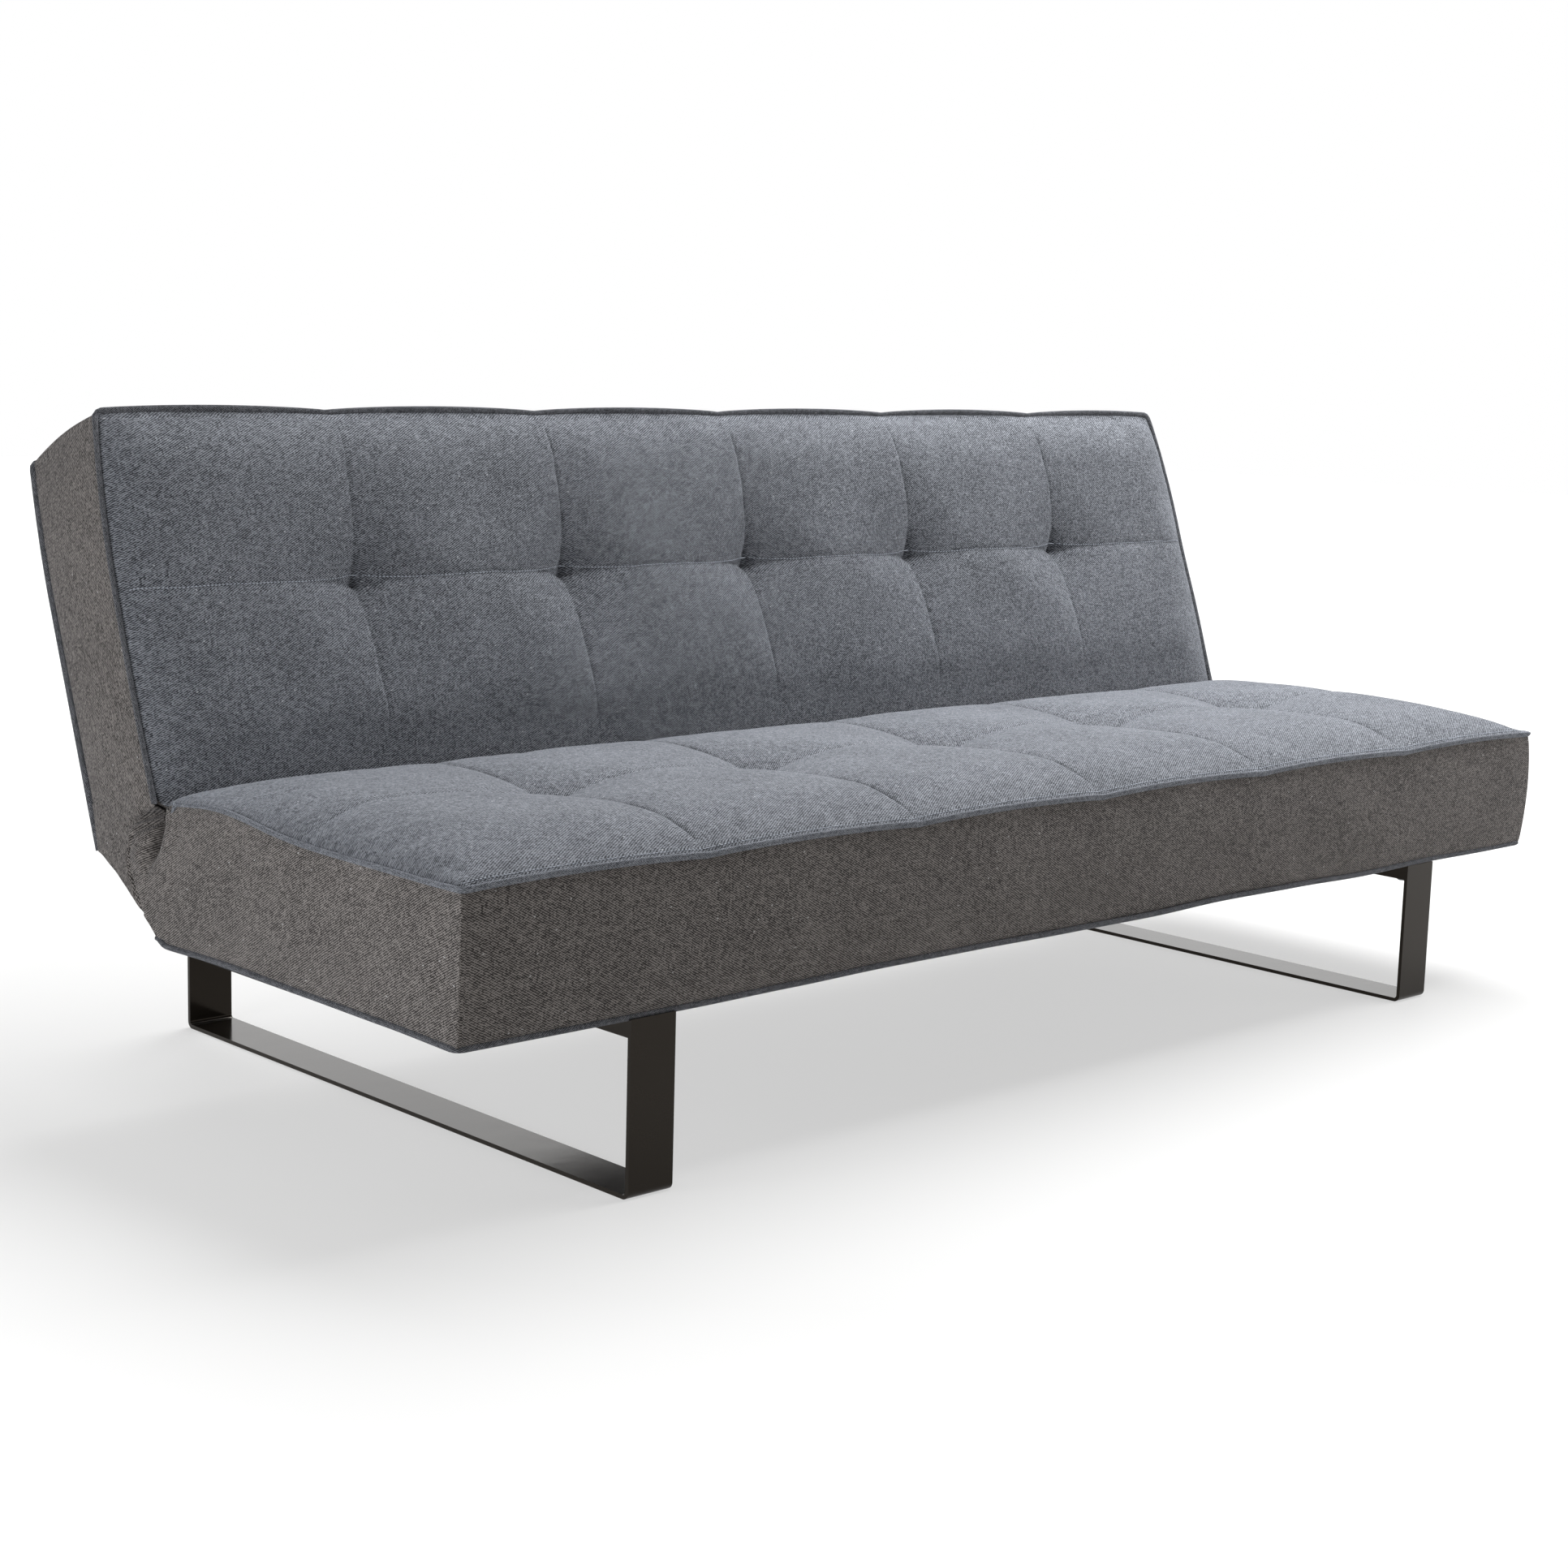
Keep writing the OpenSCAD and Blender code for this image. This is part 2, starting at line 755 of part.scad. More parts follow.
// Thin pad between the frame and the rear panel
module back_rear_wadding() {
    color(wadding_col) on_back() difference() {
        intersection() {
            along_x(-seat_cavity_x + 1, seat_cavity_x - 1) back_profile(skin);
            box(-half_w, half_w, back_u0, back_u1, -rear_n, back_frame_n0);
        }
        for (s = [-1, 1]) box(s * 884 - 9, s * 884 + 9, 0, 175, -rear_n, 0);
    }
}

module back_tuft_ties() {
    n = back_frame_n1 + wire;
    color(twine) on_back() for (x = tuft_xs) translate([x, tuft_u, 0]) {
        translate([0, 0, n - 1.6]) cylinder(h = 1.6, r = 9);
        translate([0, 0, n - 1]) cylinder(h = front_n + 1 - n, r = 1.2);
        translate([0, 0, front_n]) sphere(r = 4);
    }
}

// The side walls stop above the pleated gussets that close the crease
module back_cover() {
    color(cloth) on_back() difference() {
        back_solid(0);
        back_solid(skin);
        hinge_slots();
        front_cord(piping_r + gap);
        rear_cord(piping_r + gap);
        for (s = [-1, 1]) on_side(s, cover_x - skin, half_w) {
            polygon([[-90, -60], [51, -60], [51, -22], [86, front_n - 8], [86, front_n + 3], [-90, front_n + 3]]);
        }
    }
}

module back_front_piping() {
    color(edge_cloth) on_back() front_cord(piping_r);
}

module back_rear_piping() {
    color(edge_cloth) on_back() rear_cord(piping_r);
}

// ---------------------------------------------------------------- joining cloth

// Cloth between the pads, hanging down behind the seat's rear face
module crease_strip() {
    r = seat_arc_r - 0.7;
    color(edge_cloth) from_front() along_x(-cover_x + 80, cover_x - 80) intersection() {
        difference() {
            translate([pivot_y, pivot_z]) circle(r = r, $fn = 120);
            translate([pivot_y, pivot_z]) circle(r = r - 0.7, $fn = 120);
        }
        polygon([
            [pivot_y, pivot_z],
            [pivot_y - 200, pivot_z - 16],
            [pivot_y - 200, pivot_z + 110]
        ]);
    }
}

// Pleated side panel over the hinge, sewn to the seat's boxing and to the back's boxing
module side_gusset(s) {
    color(cloth) from_front() on_side(s, cover_x + 0.1, half_w) polygon([
        [pivot_y - 133, leg_h + 4],
        [pivot_y - 70, leg_h + 8],
        [pivot_y + 28, pivot_z + 41],
        [pivot_y - 80, pivot_z + 104],
        [pivot_y - 112, pivot_z + 106]
    ]);
}

module side_gusset_left() side_gusset(-1);

module side_gusset_right() side_gusset(1);

// ---------------------------------------------------------------- assembly

leg_left();
leg_right();
leg_tube_left();
leg_tube_right();
leg_bolts();
seat_rail_front();
seat_rail_rear();
seat_side_rails();
seat_cross_rails();
seat_frame_screws();
seat_springs();
seat_spring_clips();
seat_felt();
seat_foam();
seat_wadding();
seat_tuft_ties();
seat_cover();
seat_piping();
seat_hem_piping();
seat_dust_cover();
seat_hinge_arm_left();
seat_hinge_arm_right();
hinge_pins();
seat_hinge_bolts();
pawl_pins();
pawl_springs();
pawl_left();
pawl_right();
back_hinge_arm_left();
back_hinge_arm_right();
back_hinge_bolts();
back_rail_bottom();
back_rail_top();
back_side_rails();
back_cross_rails();
back_frame_screws();
back_springs();
back_spring_clips();
back_felt();
back_foam();
back_wadding();
back_rear_wadding();
back_tuft_ties();
back_cover();
back_front_piping();
back_rear_piping();
crease_strip();
side_gusset_left();
side_gusset_right();
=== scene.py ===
import json
import math
from functools import lru_cache

import bpy
import numpy as np
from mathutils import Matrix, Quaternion, Vector


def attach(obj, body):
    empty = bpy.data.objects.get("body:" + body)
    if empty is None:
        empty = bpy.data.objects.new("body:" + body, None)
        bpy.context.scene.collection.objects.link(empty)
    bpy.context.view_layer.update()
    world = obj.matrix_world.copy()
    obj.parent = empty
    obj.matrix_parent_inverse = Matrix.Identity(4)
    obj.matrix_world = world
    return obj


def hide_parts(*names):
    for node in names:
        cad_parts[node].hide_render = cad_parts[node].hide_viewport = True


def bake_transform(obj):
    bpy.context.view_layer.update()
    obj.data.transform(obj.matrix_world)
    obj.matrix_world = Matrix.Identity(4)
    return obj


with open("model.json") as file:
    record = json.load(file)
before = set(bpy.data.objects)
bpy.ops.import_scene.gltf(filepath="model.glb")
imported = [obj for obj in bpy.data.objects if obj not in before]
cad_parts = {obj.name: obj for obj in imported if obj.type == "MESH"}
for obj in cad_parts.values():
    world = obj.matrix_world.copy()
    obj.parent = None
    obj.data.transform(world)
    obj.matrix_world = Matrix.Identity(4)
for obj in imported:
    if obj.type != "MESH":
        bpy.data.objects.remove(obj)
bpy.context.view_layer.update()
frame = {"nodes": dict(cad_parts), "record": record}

# ---------------------------------------------------------------- frame of the sofa, in millimetres
# y is measured from the front piping, and the back has its own axes at the pivot:
# u runs up the back and n leaves its front panel.
DEPTH = 880.0
HALF = 940.0  # half the length of the sofa
SIDE = 938.0  # half the length of a pad
PIVOT = (658.0, 238.0)  # y and z
LEAN = math.radians(72.0)
SEAT_TOP = 353.0
SEAT_HEM = 195.0
SEAT_REAR = 556.0
FRONT_N = 115.0  # from the pivot to the back's front piping
BACK_TOP = 529.0
BACK_LOW = -60.0
BACK_THICK = 100.0
COLUMN = 2 * HALF / 6
SEAMS = np.array([-2, -1, 0, 1, 2]) * COLUMN
# The tufts lie in one row on each pad, at this y and this u.
SEAT_ROW = 271.0
BACK_ROW = 320.0
# The gusset's seam on the seat starts at this y and slopes to the rear, and its seam on the back starts at this u
# and slopes down.
GUSSET_Y, GUSSET_Y_RUN = 553.0, 25.0
GUSSET_U, GUSSET_U_DROP = 84.0, 32.0
# Steps between grid lines over the pads.
STEP_X, STEP_Y = 12.5, 12.0
WALL_LINES = 15
# Points along the piping are this far apart.
PIPING_STEP = 5.0


def base_place(x, y, z):
    return np.stack([x, y - DEPTH / 2, z], -1) / 1000.0


def yz_of_back(u, n):
    y = PIVOT[0] + u * math.cos(LEAN) - n * math.sin(LEAN)
    z = PIVOT[1] + u * math.sin(LEAN) + n * math.cos(LEAN)
    return y, z


def back_place(x, u, n):
    return base_place(x, *yz_of_back(u, n))


def un_of_back(y, z):
    y, z = y - PIVOT[0], z - PIVOT[1]
    return y * math.cos(LEAN) + z * math.sin(LEAN), z * math.cos(LEAN) - y * math.sin(LEAN)


def seat_cloth(points):
    """Position along the seat's cloth in metres: x, y, z from the front of the hem."""
    return points + np.array([0, DEPTH / 2000, 0])


def back_cloth(points):
    """Position along the back's cloth in metres: x, up the back, out of its front."""
    y, z = points[..., 1] + (DEPTH / 2 - PIVOT[0]) / 1000, points[..., 2] - PIVOT[1] / 1000
    u = y * math.cos(LEAN) + z * math.sin(LEAN)
    n = z * math.cos(LEAN) - y * math.sin(LEAN)
    return np.stack([points[..., 0], u, n], -1)


# ---------------------------------------------------------------- smooth noise, the same on every run


@lru_cache(maxsize=None)
def lattice(seed):
    return np.random.RandomState(seed).uniform(-1, 1, (64, 64))


def noise(p, q, size, seed):
    """Smooth noise from -1 to 1 over a plane, with features about size apart."""
    g = lattice(seed)
    p, q = p / size + 17.3, q / size + 9.1
    i, j = np.floor(p).astype(int), np.floor(q).astype(int)
    a, b = p - i, q - j
    a, b = a * a * (3 - 2 * a), b * b * (3 - 2 * b)
    i0, i1, j0, j1 = i % 64, (i + 1) % 64, j % 64, (j + 1) % 64
    near = g[i0, j0] * (1 - a) + g[i1, j0] * a
    far = g[i0, j1] * (1 - a) + g[i1, j1] * a
    return near * (1 - b) + far * b


def smooth(t):
    """Rises from 0 to 1 as t does, level at both ends."""
    t = np.clip(t, 0, 1)
    return t * t * (3 - 2 * t)


def shoulder(d, reach):
    """Rises steeply from 0 at an edge and levels out at reach."""
    t = np.clip(d / reach, 0, 1)
    return (1 - (1 - t) ** 2.4) ** 0.75


def soft_least(*values):
    """Smallest of the values, rounded off where two of them are close."""
    return sum(np.clip(v, 0.001, None) ** -3.0 for v in values) ** (-1 / 3)


def groove(d, width):
    """1 on a line, falling to nearly 0 at twice width from it."""
    return np.exp(-((d / width) ** 2))


def from_seam(x):
    """Distance to the nearest seam that runs from front to back."""
    return np.min(np.abs(x[..., None] - SEAMS), -1)


# ---------------------------------------------------------------- meshes


def new_object(name, points, faces, uvs=None):
    """Smooth mesh object, with UVs in metres along the cloth, one pair for each corner of each face."""
    mesh = bpy.data.meshes.new(name)
    mesh.from_pydata(np.asarray(points, float).reshape(-1, 3).tolist(), [], faces)
    if uvs is not None:
        mesh.uv_layers.new(name="UVMap").data.foreach_set("uv", np.asarray(uvs, float).ravel())
    mesh.polygons.foreach_set("use_smooth", np.ones(len(mesh.polygons), bool))
    mesh.update()
    obj = bpy.data.objects.new(name, mesh)
    bpy.context.collection.objects.link(obj)
    return obj


def apply(obj, mod):
    """Applies a modifier and keeps the faces smooth."""
    bpy.context.view_layer.objects.active = obj
    bpy.ops.object.select_all(action="DESELECT")
    obj.select_set(True)
    bpy.ops.object.modifier_apply(modifier=mod.name)
    obj.data.polygons.foreach_set("use_smooth", np.ones(len(obj.data.polygons), bool))


def subdivide(obj):
    mod = obj.modifiers.new("subdivision", "SUBSURF")
    mod.levels = mod.render_levels = 1
    mod.uv_smooth = "NONE"
    apply(obj, mod)


def thicken(obj, thickness, offset):
    mod = obj.modifiers.new("thickness", "SOLIDIFY")
    mod.thickness = thickness
    mod.offset = offset
    apply(obj, mod)


def graded(low, high, lines, step):
    """Grid lines from low to high, close together at the given seams and at both ends."""
    marks = [low, high]
    for m in lines:
        marks += [m + d for d in (-14, -7.5, -3.4, -1.2, 1.2, 3.4, 7.5, 14)] + [m]
    marks += [low + 4, low + 10, high - 4, high - 10]
    marks = sorted(set(round(m, 3) for m in marks))
    out = []
    for a, b in zip(marks[:-1], marks[1:]):
        n = max(1, int(round((b - a) / step)))
        out += [a + (b - a) * k / n for k in range(n)]
    return np.array(out + [high])


def block(name, xs, ys, zs, place, cloth_of):
    """Closed box of quads over three sets of grid lines, moved into shape by place(x, y, z, on_top). Its top and
    underside have material 0 and its walls material 1."""
    nx, ny, nz = len(xs) - 1, len(ys) - 1, len(zs) - 1
    index, faces, sides = {}, [], []

    def quad(side, *corners):
        faces.append([index.setdefault(corner, len(index)) for corner in corners])
        sides.append(side)

    for i in range(nx):
        for j in range(ny):
            quad(0, (i, j, nz), (i + 1, j, nz), (i + 1, j + 1, nz), (i, j + 1, nz))
            quad(0, (i, j, 0), (i, j + 1, 0), (i + 1, j + 1, 0), (i + 1, j, 0))
    for i in range(nx):
        for k in range(nz):
            quad(1, (i, 0, k), (i + 1, 0, k), (i + 1, 0, k + 1), (i, 0, k + 1))
            quad(1, (i, ny, k), (i, ny, k + 1), (i + 1, ny, k + 1), (i + 1, ny, k))
    for j in range(ny):
        for k in range(nz):
            quad(2, (0, j, k), (0, j, k + 1), (0, j + 1, k + 1), (0, j + 1, k))
            quad(2, (nx, j, k), (nx, j + 1, k), (nx, j + 1, k + 1), (nx, j, k + 1))
    i, j, k = np.array(list(index)).T
    x, y, z = xs[i], ys[j], zs[k]
    points = place(x, y, z, k == nz)
    flat = cloth_of(points)[np.array(faces).ravel()]
    side = np.repeat(np.array(sides), 4)
    uvs = np.zeros((len(side), 2))
    for kind, axes in enumerate(([0, 1], [0, 2], [1, 2])):
        uvs[side == kind] = flat[side == kind][:, axes]
    obj = new_object(name, points, faces, uvs)
    obj.data.polygons.foreach_set("material_index", (np.array(sides) > 0).astype(np.int32))
    return obj, (x, y, z)


def set_points(obj, points):
    obj.data.vertices.foreach_set("co", np.asarray(points, np.float64).ravel())
    obj.data.update()


def get_points(obj):
    co = np.zeros(len(obj.data.vertices) * 3)
    obj.data.vertices.foreach_get("co", co)
    return co.reshape(-1, 3)


# ---------------------------------------------------------------- quilting

def tuft_pull(x, y, row):
    """1 at each tuft, falling away faster across the seams than along them."""
    out = np.zeros_like(x)
    for s in SEAMS:
        dx, dy = np.abs(x - s), np.abs(y - row)
        r = (dx ** 1.25 + dy ** 1.25) ** (1 / 1.25)
        out = np.maximum(out, 0.62 * np.exp(-r / 26) + 0.38 * np.exp(-((r / 95) ** 1.5)))
    return out


def seam_pull(x, y, row, across):
    """Shallow valley along the seams that run from front to back."""
    near = np.exp(-np.abs(y - row) / 95)
    return (0.16 + 0.3 * near) * np.exp(-from_seam(x) / across)


def bumps(x, size):
    """0 at every seam and at both ends, 1 halfway between them."""
    t = np.abs(((x + HALF) / COLUMN) % 1.0)
    return size * np.sin(np.pi * np.clip(t, 0, 1)) ** 0.7


# ---------------------------------------------------------------- folds at the crease, on both sides

# Each fold runs from one point to another over the side of the sofa, given as y and z, with its depth at both
# ends and its width.
FOLDS = (
    ((560, 347), (596, 335), 13.0, 8.0, 6.5),
    ((596, 335), (640, 318), 8.0, 0.5, 5.0),
    ((560, 338), (588, 327), 7.0, 6.0, 4.5),
    ((588, 327), (612, 317), 6.0, 1.5, 4.0),
    ((563, 334), (574, 306), 11.0, 12.0, 9.0),
    ((574, 306), (593, 270), 12.0, 0.5, 8.0),
    ((612, 317), (625, 294), 2.0, 3.0, 2.4),
    ((625, 294), (624, 269), 3.0, 3.0, 2.4),
    ((624, 269), (611, 247), 3.0, 3.0, 2.4),
    ((611, 247), (600, 226), 3.0, 2.0, 2.4),
)


def gather(y, z, spread=0.0):
    """How far the side cloth is drawn in by the folds, less the fullness between them."""
    deep = np.zeros(np.broadcast(y, z).shape)
    for a, b, depth_a, depth_b, width in FOLDS:
        dy, dz = b[0] - a[0], b[1] - a[1]
        t = np.clip(((y - a[0]) * dy + (z - a[1]) * dz) / (dy * dy + dz * dz), 0, 1)
        d = np.hypot(y - a[0] - t * dy, z - a[1] - t * dz)
        deep = np.maximum(deep, (depth_a + (depth_b - depth_a) * t) * groove(d, width + spread))
    full = 4.0 * groove(np.hypot(y - 602, z - 296), 15) + 3.0 * groove(np.hypot(y - 612, z - 352), 20)
    return 1.25 * deep - full


def under_gusset(y, z):
    """How far a pad keeps below the gusset that covers it."""
    return 0.25 * np.clip(gather(y, z, 4.0), 0, None) + 2.0 * groove(np.hypot(y - 590, z - 305), 65)


# ---------------------------------------------------------------- seat pad

def seat_rear(z):
    """Rear face of the seat pad, 122 mm from the pivot and level with the back's front panel when that is lifted
    8 degrees short of upright. Only the back's crown presses into it there."""
    lean = math.radians(8.0)
    plane = PIVOT[0] + (math.sin(lean) * (z - PIVOT[1]) - 121.8) / math.cos(lean)
    drop = np.clip(136.0 ** 2 - (z - PIVOT[1]) ** 2, 0, None)
    return np.minimum(plane, PIVOT[0] - np.sqrt(drop))


def seat_level(z):
    """0 at the seat's hem, 1 at its top piping."""
    return np.clip((z - SEAT_HEM) / (SEAT_TOP - SEAT_HEM), 0, 1)


def seat_side_rear(z):
    """Rear edge of the seat's side boxing, where the gusset is sewn on."""
    t = np.clip((SEAT_TOP - z) / (SEAT_TOP - SEAT_HEM), 0, 1)
    return GUSSET_Y + GUSSET_Y_RUN * t


def seat_side_arch(x, y):
    """From 0 to 1: how far the top of the side boxing is lifted behind its middle. The left side is lifted most."""
    along = groove(y - 440, 105) * smooth((575 - y) / 50)
    return along * np.exp(-np.clip(HALF - np.abs(x), 0, None) / 90) * np.where(x > 0, 0.4, 1.0)


def seat_rim_z(x, y):
    front = np.exp(-np.clip(y - 4, 0, None) / 60)
    return SEAT_TOP + (bumps(x, 4.5) - 1.5) * front + 14 * seat_side_arch(x, y)


def seat_front_y(x, z):
    c = seat_level(z)
    ends = smooth((SIDE - np.abs(x)) / 60)
    loose = np.where(x > 0, 0.8, 0.25)
    bulge = (5.5 + 1.8 * noise(x, z * 2, 210, 3)) * np.sin(np.pi * c) ** 0.8 * (loose + (1 - loose) * ends)
    tuck = 11 - 6 * smooth((x - 200) / 700)
    return 3.5 + tuck * (1 - c) ** 1.3 - bulge


def seat_side_x(y, z, right):
    """Half width of the seat over its side boxing. The right-hand side hangs fuller than the left."""
    c = seat_level(z)
    ends = smooth((y - 4) / 60)
    loose = np.where(right, 0.9, 0.25)
    bulge = (5.0 + 1.6 * noise(y, z * 2, 160, 5)) * np.sin(np.pi * c) ** 0.8 * (loose + (1 - loose) * ends)
    return 936.5 + np.where(right, 3.0, -4.0) * (1 - c) + bulge - gather(y, z)


def seat_hem_z(x, y):
    return SEAT_HEM + 2.8 * noise(x, y, 150, 11) + 7 * smooth((y - 552) / 26) ** 2


def seat_rise(x, y, rear):
    df, dr, ds = y - 4, rear - y, SIDE - np.abs(x)
    body = shoulder(soft_least(df / 98, ds / np.where(x > 0, 170, 88), dr / 98), 1)
    wide = 1 - ((y - 275) / 330) ** 2
    pillow = 1 - tuft_pull(x, y, SEAT_ROW) - seam_pull(x, y, SEAT_ROW, 30)
    d = from_seam(x)
    row = np.exp(-np.abs(y - SEAT_ROW) / 22) * (0.12 + 0.2 * np.exp(-d / 80))
    fine = 1.05 * groove(d, 3.2) + 0.8 * groove(y - SEAT_ROW, 3.2)
    rough = 0.8 * noise(x, y, 70, 21) + 1.3 * noise(x, y, 190, 22)
    return body * (20 * np.clip(wide, 0.2, 1) + 20 * (pillow - row) + rough - fine)


def seat_place(x, y, z, top):
    c = seat_level(z)
    t = y / SEAT_REAR
    front = seat_front_y(x, z)
    flange = smooth((np.abs(x) - 921) / 10)
    rear = seat_rear(z) * (1 - flange) + seat_side_rear(z) * flange
    py = front + (rear - front) * t
    px = x / SIDE * (seat_side_x(py, z, x > 0) - under_gusset(py, z))
    rim = seat_rim_z(x, py)
    hem = seat_hem_z(x, py)
    pz = hem + (rim - hem) * c
    rise = seat_rise(x, py, rear) * (1 - 0.5 * seat_side_arch(x, py))
    pz = np.where(top, rim + rise, pz)
    return base_place(px, py, pz)


# ---------------------------------------------------------------- back pad

def back_side_low(n):
    """Lower edge of the back's side boxing, where the gusset is sewn on."""
    t = np.clip((FRONT_N - n) / (FRONT_N + 24.0), 0, 1)
    return GUSSET_U - GUSSET_U_DROP * t


def back_half(u, right):
    """Half width of the back along its front piping: both top corners are drawn in, the right one more."""
    t = np.clip((u - 350) / 180, 0, 1) ** 1.8
    full = 5.0 * groove(u - 215, 90)
    return np.where(right, 937 - 26 * t + full, 936 - 9 * t)


def back_front_n(x, u):
    """Line of the front piping: it bows towards the rear halfway up."""
    t = np.clip((u - 80) / (BACK_TOP - 80), 0, 1)
    return FRONT_N - 6.5 * np.sin(np.pi * t) * smooth((np.abs(x) - 500) / 430)


def back_rear_n(u):
    t = np.clip((u - 40) / 480, 0, 1)
    return -27 - 17 * t


def back_rise(x, u):
    dt, ds = BACK_TOP - u, SIDE - np.abs(x)
    low = (1 - np.exp(-np.clip(u - 50, 0, None) / 62)) * smooth((u - 50) / 40)
    body = shoulder(dt, 80) * shoulder(ds, 80) * low
    d = from_seam(x)
    seam = (0.01 + 0.14 * np.exp(-np.abs(u - BACK_ROW) / 70)) * np.exp(-d / 24)
    row = (0.10 + 0.20 * np.exp(-d / 60)) * np.exp(-np.abs(u - BACK_ROW) / 15)
    pillow = 1 - tuft_pull(x, u, BACK_ROW) - seam - row
    pinch = 4.5 * groove(d, 5.5) * groove(u - BACK_ROW - 13, 15)
    fine = 0.5 * groove(d, 2.6) + 1.1 * groove(u - BACK_ROW, 3.0) + pinch
    rough = 0.7 * noise(x, u, 75, 31) + 1.4 * noise(x, u, 200, 32)
    return body * (24 * pillow + rough - fine + 1.0)


def back_bulge(u, n, c, height):
    """How far the side boxing swells between its pipings. c is 0 at the rear one and 1 at the front one."""
    ends = smooth((BACK_TOP - height) / 60)
    return (4.6 + 1.5 * noise(u, n * 2, 150, 41)) * np.sin(np.pi * c) ** 0.8 * (0.3 + 0.7 * ends)


def back_side_x(u, n, right):
    """Half width of the back over its side boxing."""
    c = np.clip((n + 44) / (FRONT_N + 44), 0, 1)
    return back_half(u, right) + back_bulge(u, n, c, u) - gather(*yz_of_back(u, n))


def back_low_edge(x, n):
    """Rounded lower edge of the pad. It is cut away behind the hinge at each end."""
    front = np.clip(n / FRONT_N, 0, 1)
    behind = np.sqrt(np.clip(1 - (np.clip(n, -27, 0) / 27) ** 2, 0, 1))
    low = -57 * front - 26 * behind * (1 - 0.9 * front) + 2
    return low + (38 - low) * smooth((np.abs(x) - 892) / 16) * smooth((40 - n) / 30)


def back_place_pad(x, y, z, top):
    """x along the sofa, y up the back, z from the rear panel to the front one."""
    c = np.clip(z / BACK_THICK, 0, 1)
    t = (y - BACK_LOW) / (BACK_TOP - BACK_LOW)
    n_front = back_front_n(x, y)
    n_rear = back_rear_n(y)
    n = n_rear + (n_front - n_rear) * c
    low_edge = back_low_edge(x, n)
    top_edge = BACK_TOP - 15 * (1 - c) + 5.5 * np.sin(np.pi * c) + (bumps(x, 5.5) - 1.0) * (0.25 + 0.75 * c)
    u = low_edge + (top_edge - low_edge) * t
    above = smooth((u - back_side_low(n) + 16) / 12)
    y_side, z_side = yz_of_back(u, n)
    drawn = gather(y_side, z_side) + under_gusset(y_side, z_side)
    half = back_half(u, x > 0) + back_bulge(u, n, c, y) * above - 21 * (1 - above) - drawn
    n = np.where(top, back_front_n(x, u) + back_rise(x, u), n)
    return back_place(x / SIDE * half, u, n)


# ---------------------------------------------------------------- piping

def sweep(name, path, outward, width, height, ring=10):
    """Tube of oval section along a path, its long side turned outward. UVs run along it."""
    path, outward = np.asarray(path, float), np.asarray(outward, float)
    tangent = np.gradient(path, axis=0)
    tangent /= np.linalg.norm(tangent, axis=1)[:, None]
    outward = outward - (outward * tangent).sum(1)[:, None] * tangent
    outward /= np.linalg.norm(outward, axis=1)[:, None]
    across = np.cross(tangent, outward)
    along = np.concatenate([[0], np.cumsum(np.linalg.norm(np.diff(path, axis=0), axis=1))])
    girth = (width + float(np.mean(height))) * 1.57  # half of pi: the section is nearly round
    points, uvs, faces = [], [], []
    for a in np.arange(ring) * 2 * math.pi / ring:
        points.append(path + outward * math.cos(a) * height / 2 + across * math.sin(a) * width / 2)
    for i in range(len(path) - 1):
        for j in range(ring):
            k = (j + 1) % ring
            faces.append([i * ring + j, i * ring + k, (i + 1) * ring + k, (i + 1) * ring + j])
            low, high = j / ring * girth, (j + 1) / ring * girth
            uvs += [(along[i], low), (along[i], high), (along[i + 1], high), (along[i + 1], low)]
    faces.append(list(range(ring)))
    faces.append([(len(path) - 1) * ring + j for j in reversed(range(ring))])
    uvs += [(0, 0)] * 2 * ring
    return new_object(name, np.stack(points, 1), faces, uvs)


def resample(points, step):
    points = np.asarray(points, float)
    d = np.concatenate([[0], np.cumsum(np.linalg.norm(np.diff(points, axis=0), axis=1))])
    n = max(2, int(round(d[-1] / step)))
    s = np.linspace(0, d[-1], n + 1)
    return np.stack([np.interp(s, d, points[:, k]) for k in range(points.shape[1])], -1)


def round_path(corners, radius):
    """Polyline with its inner corners rounded."""
    corners = [np.array(c, float) for c in corners]
    out = [corners[0]]
    for a, b, c in zip(corners[:-2], corners[1:-1], corners[2:]):
        p = b + (a - b) / np.linalg.norm(a - b) * radius
        q = b + (c - b) / np.linalg.norm(c - b) * radius
        for t in np.linspace(0, 1, 6):
            out.append((1 - t) ** 2 * p + 2 * t * (1 - t) * b + t * t * q)
    return out + [corners[-1]]


# ---------------------------------------------------------------- materials


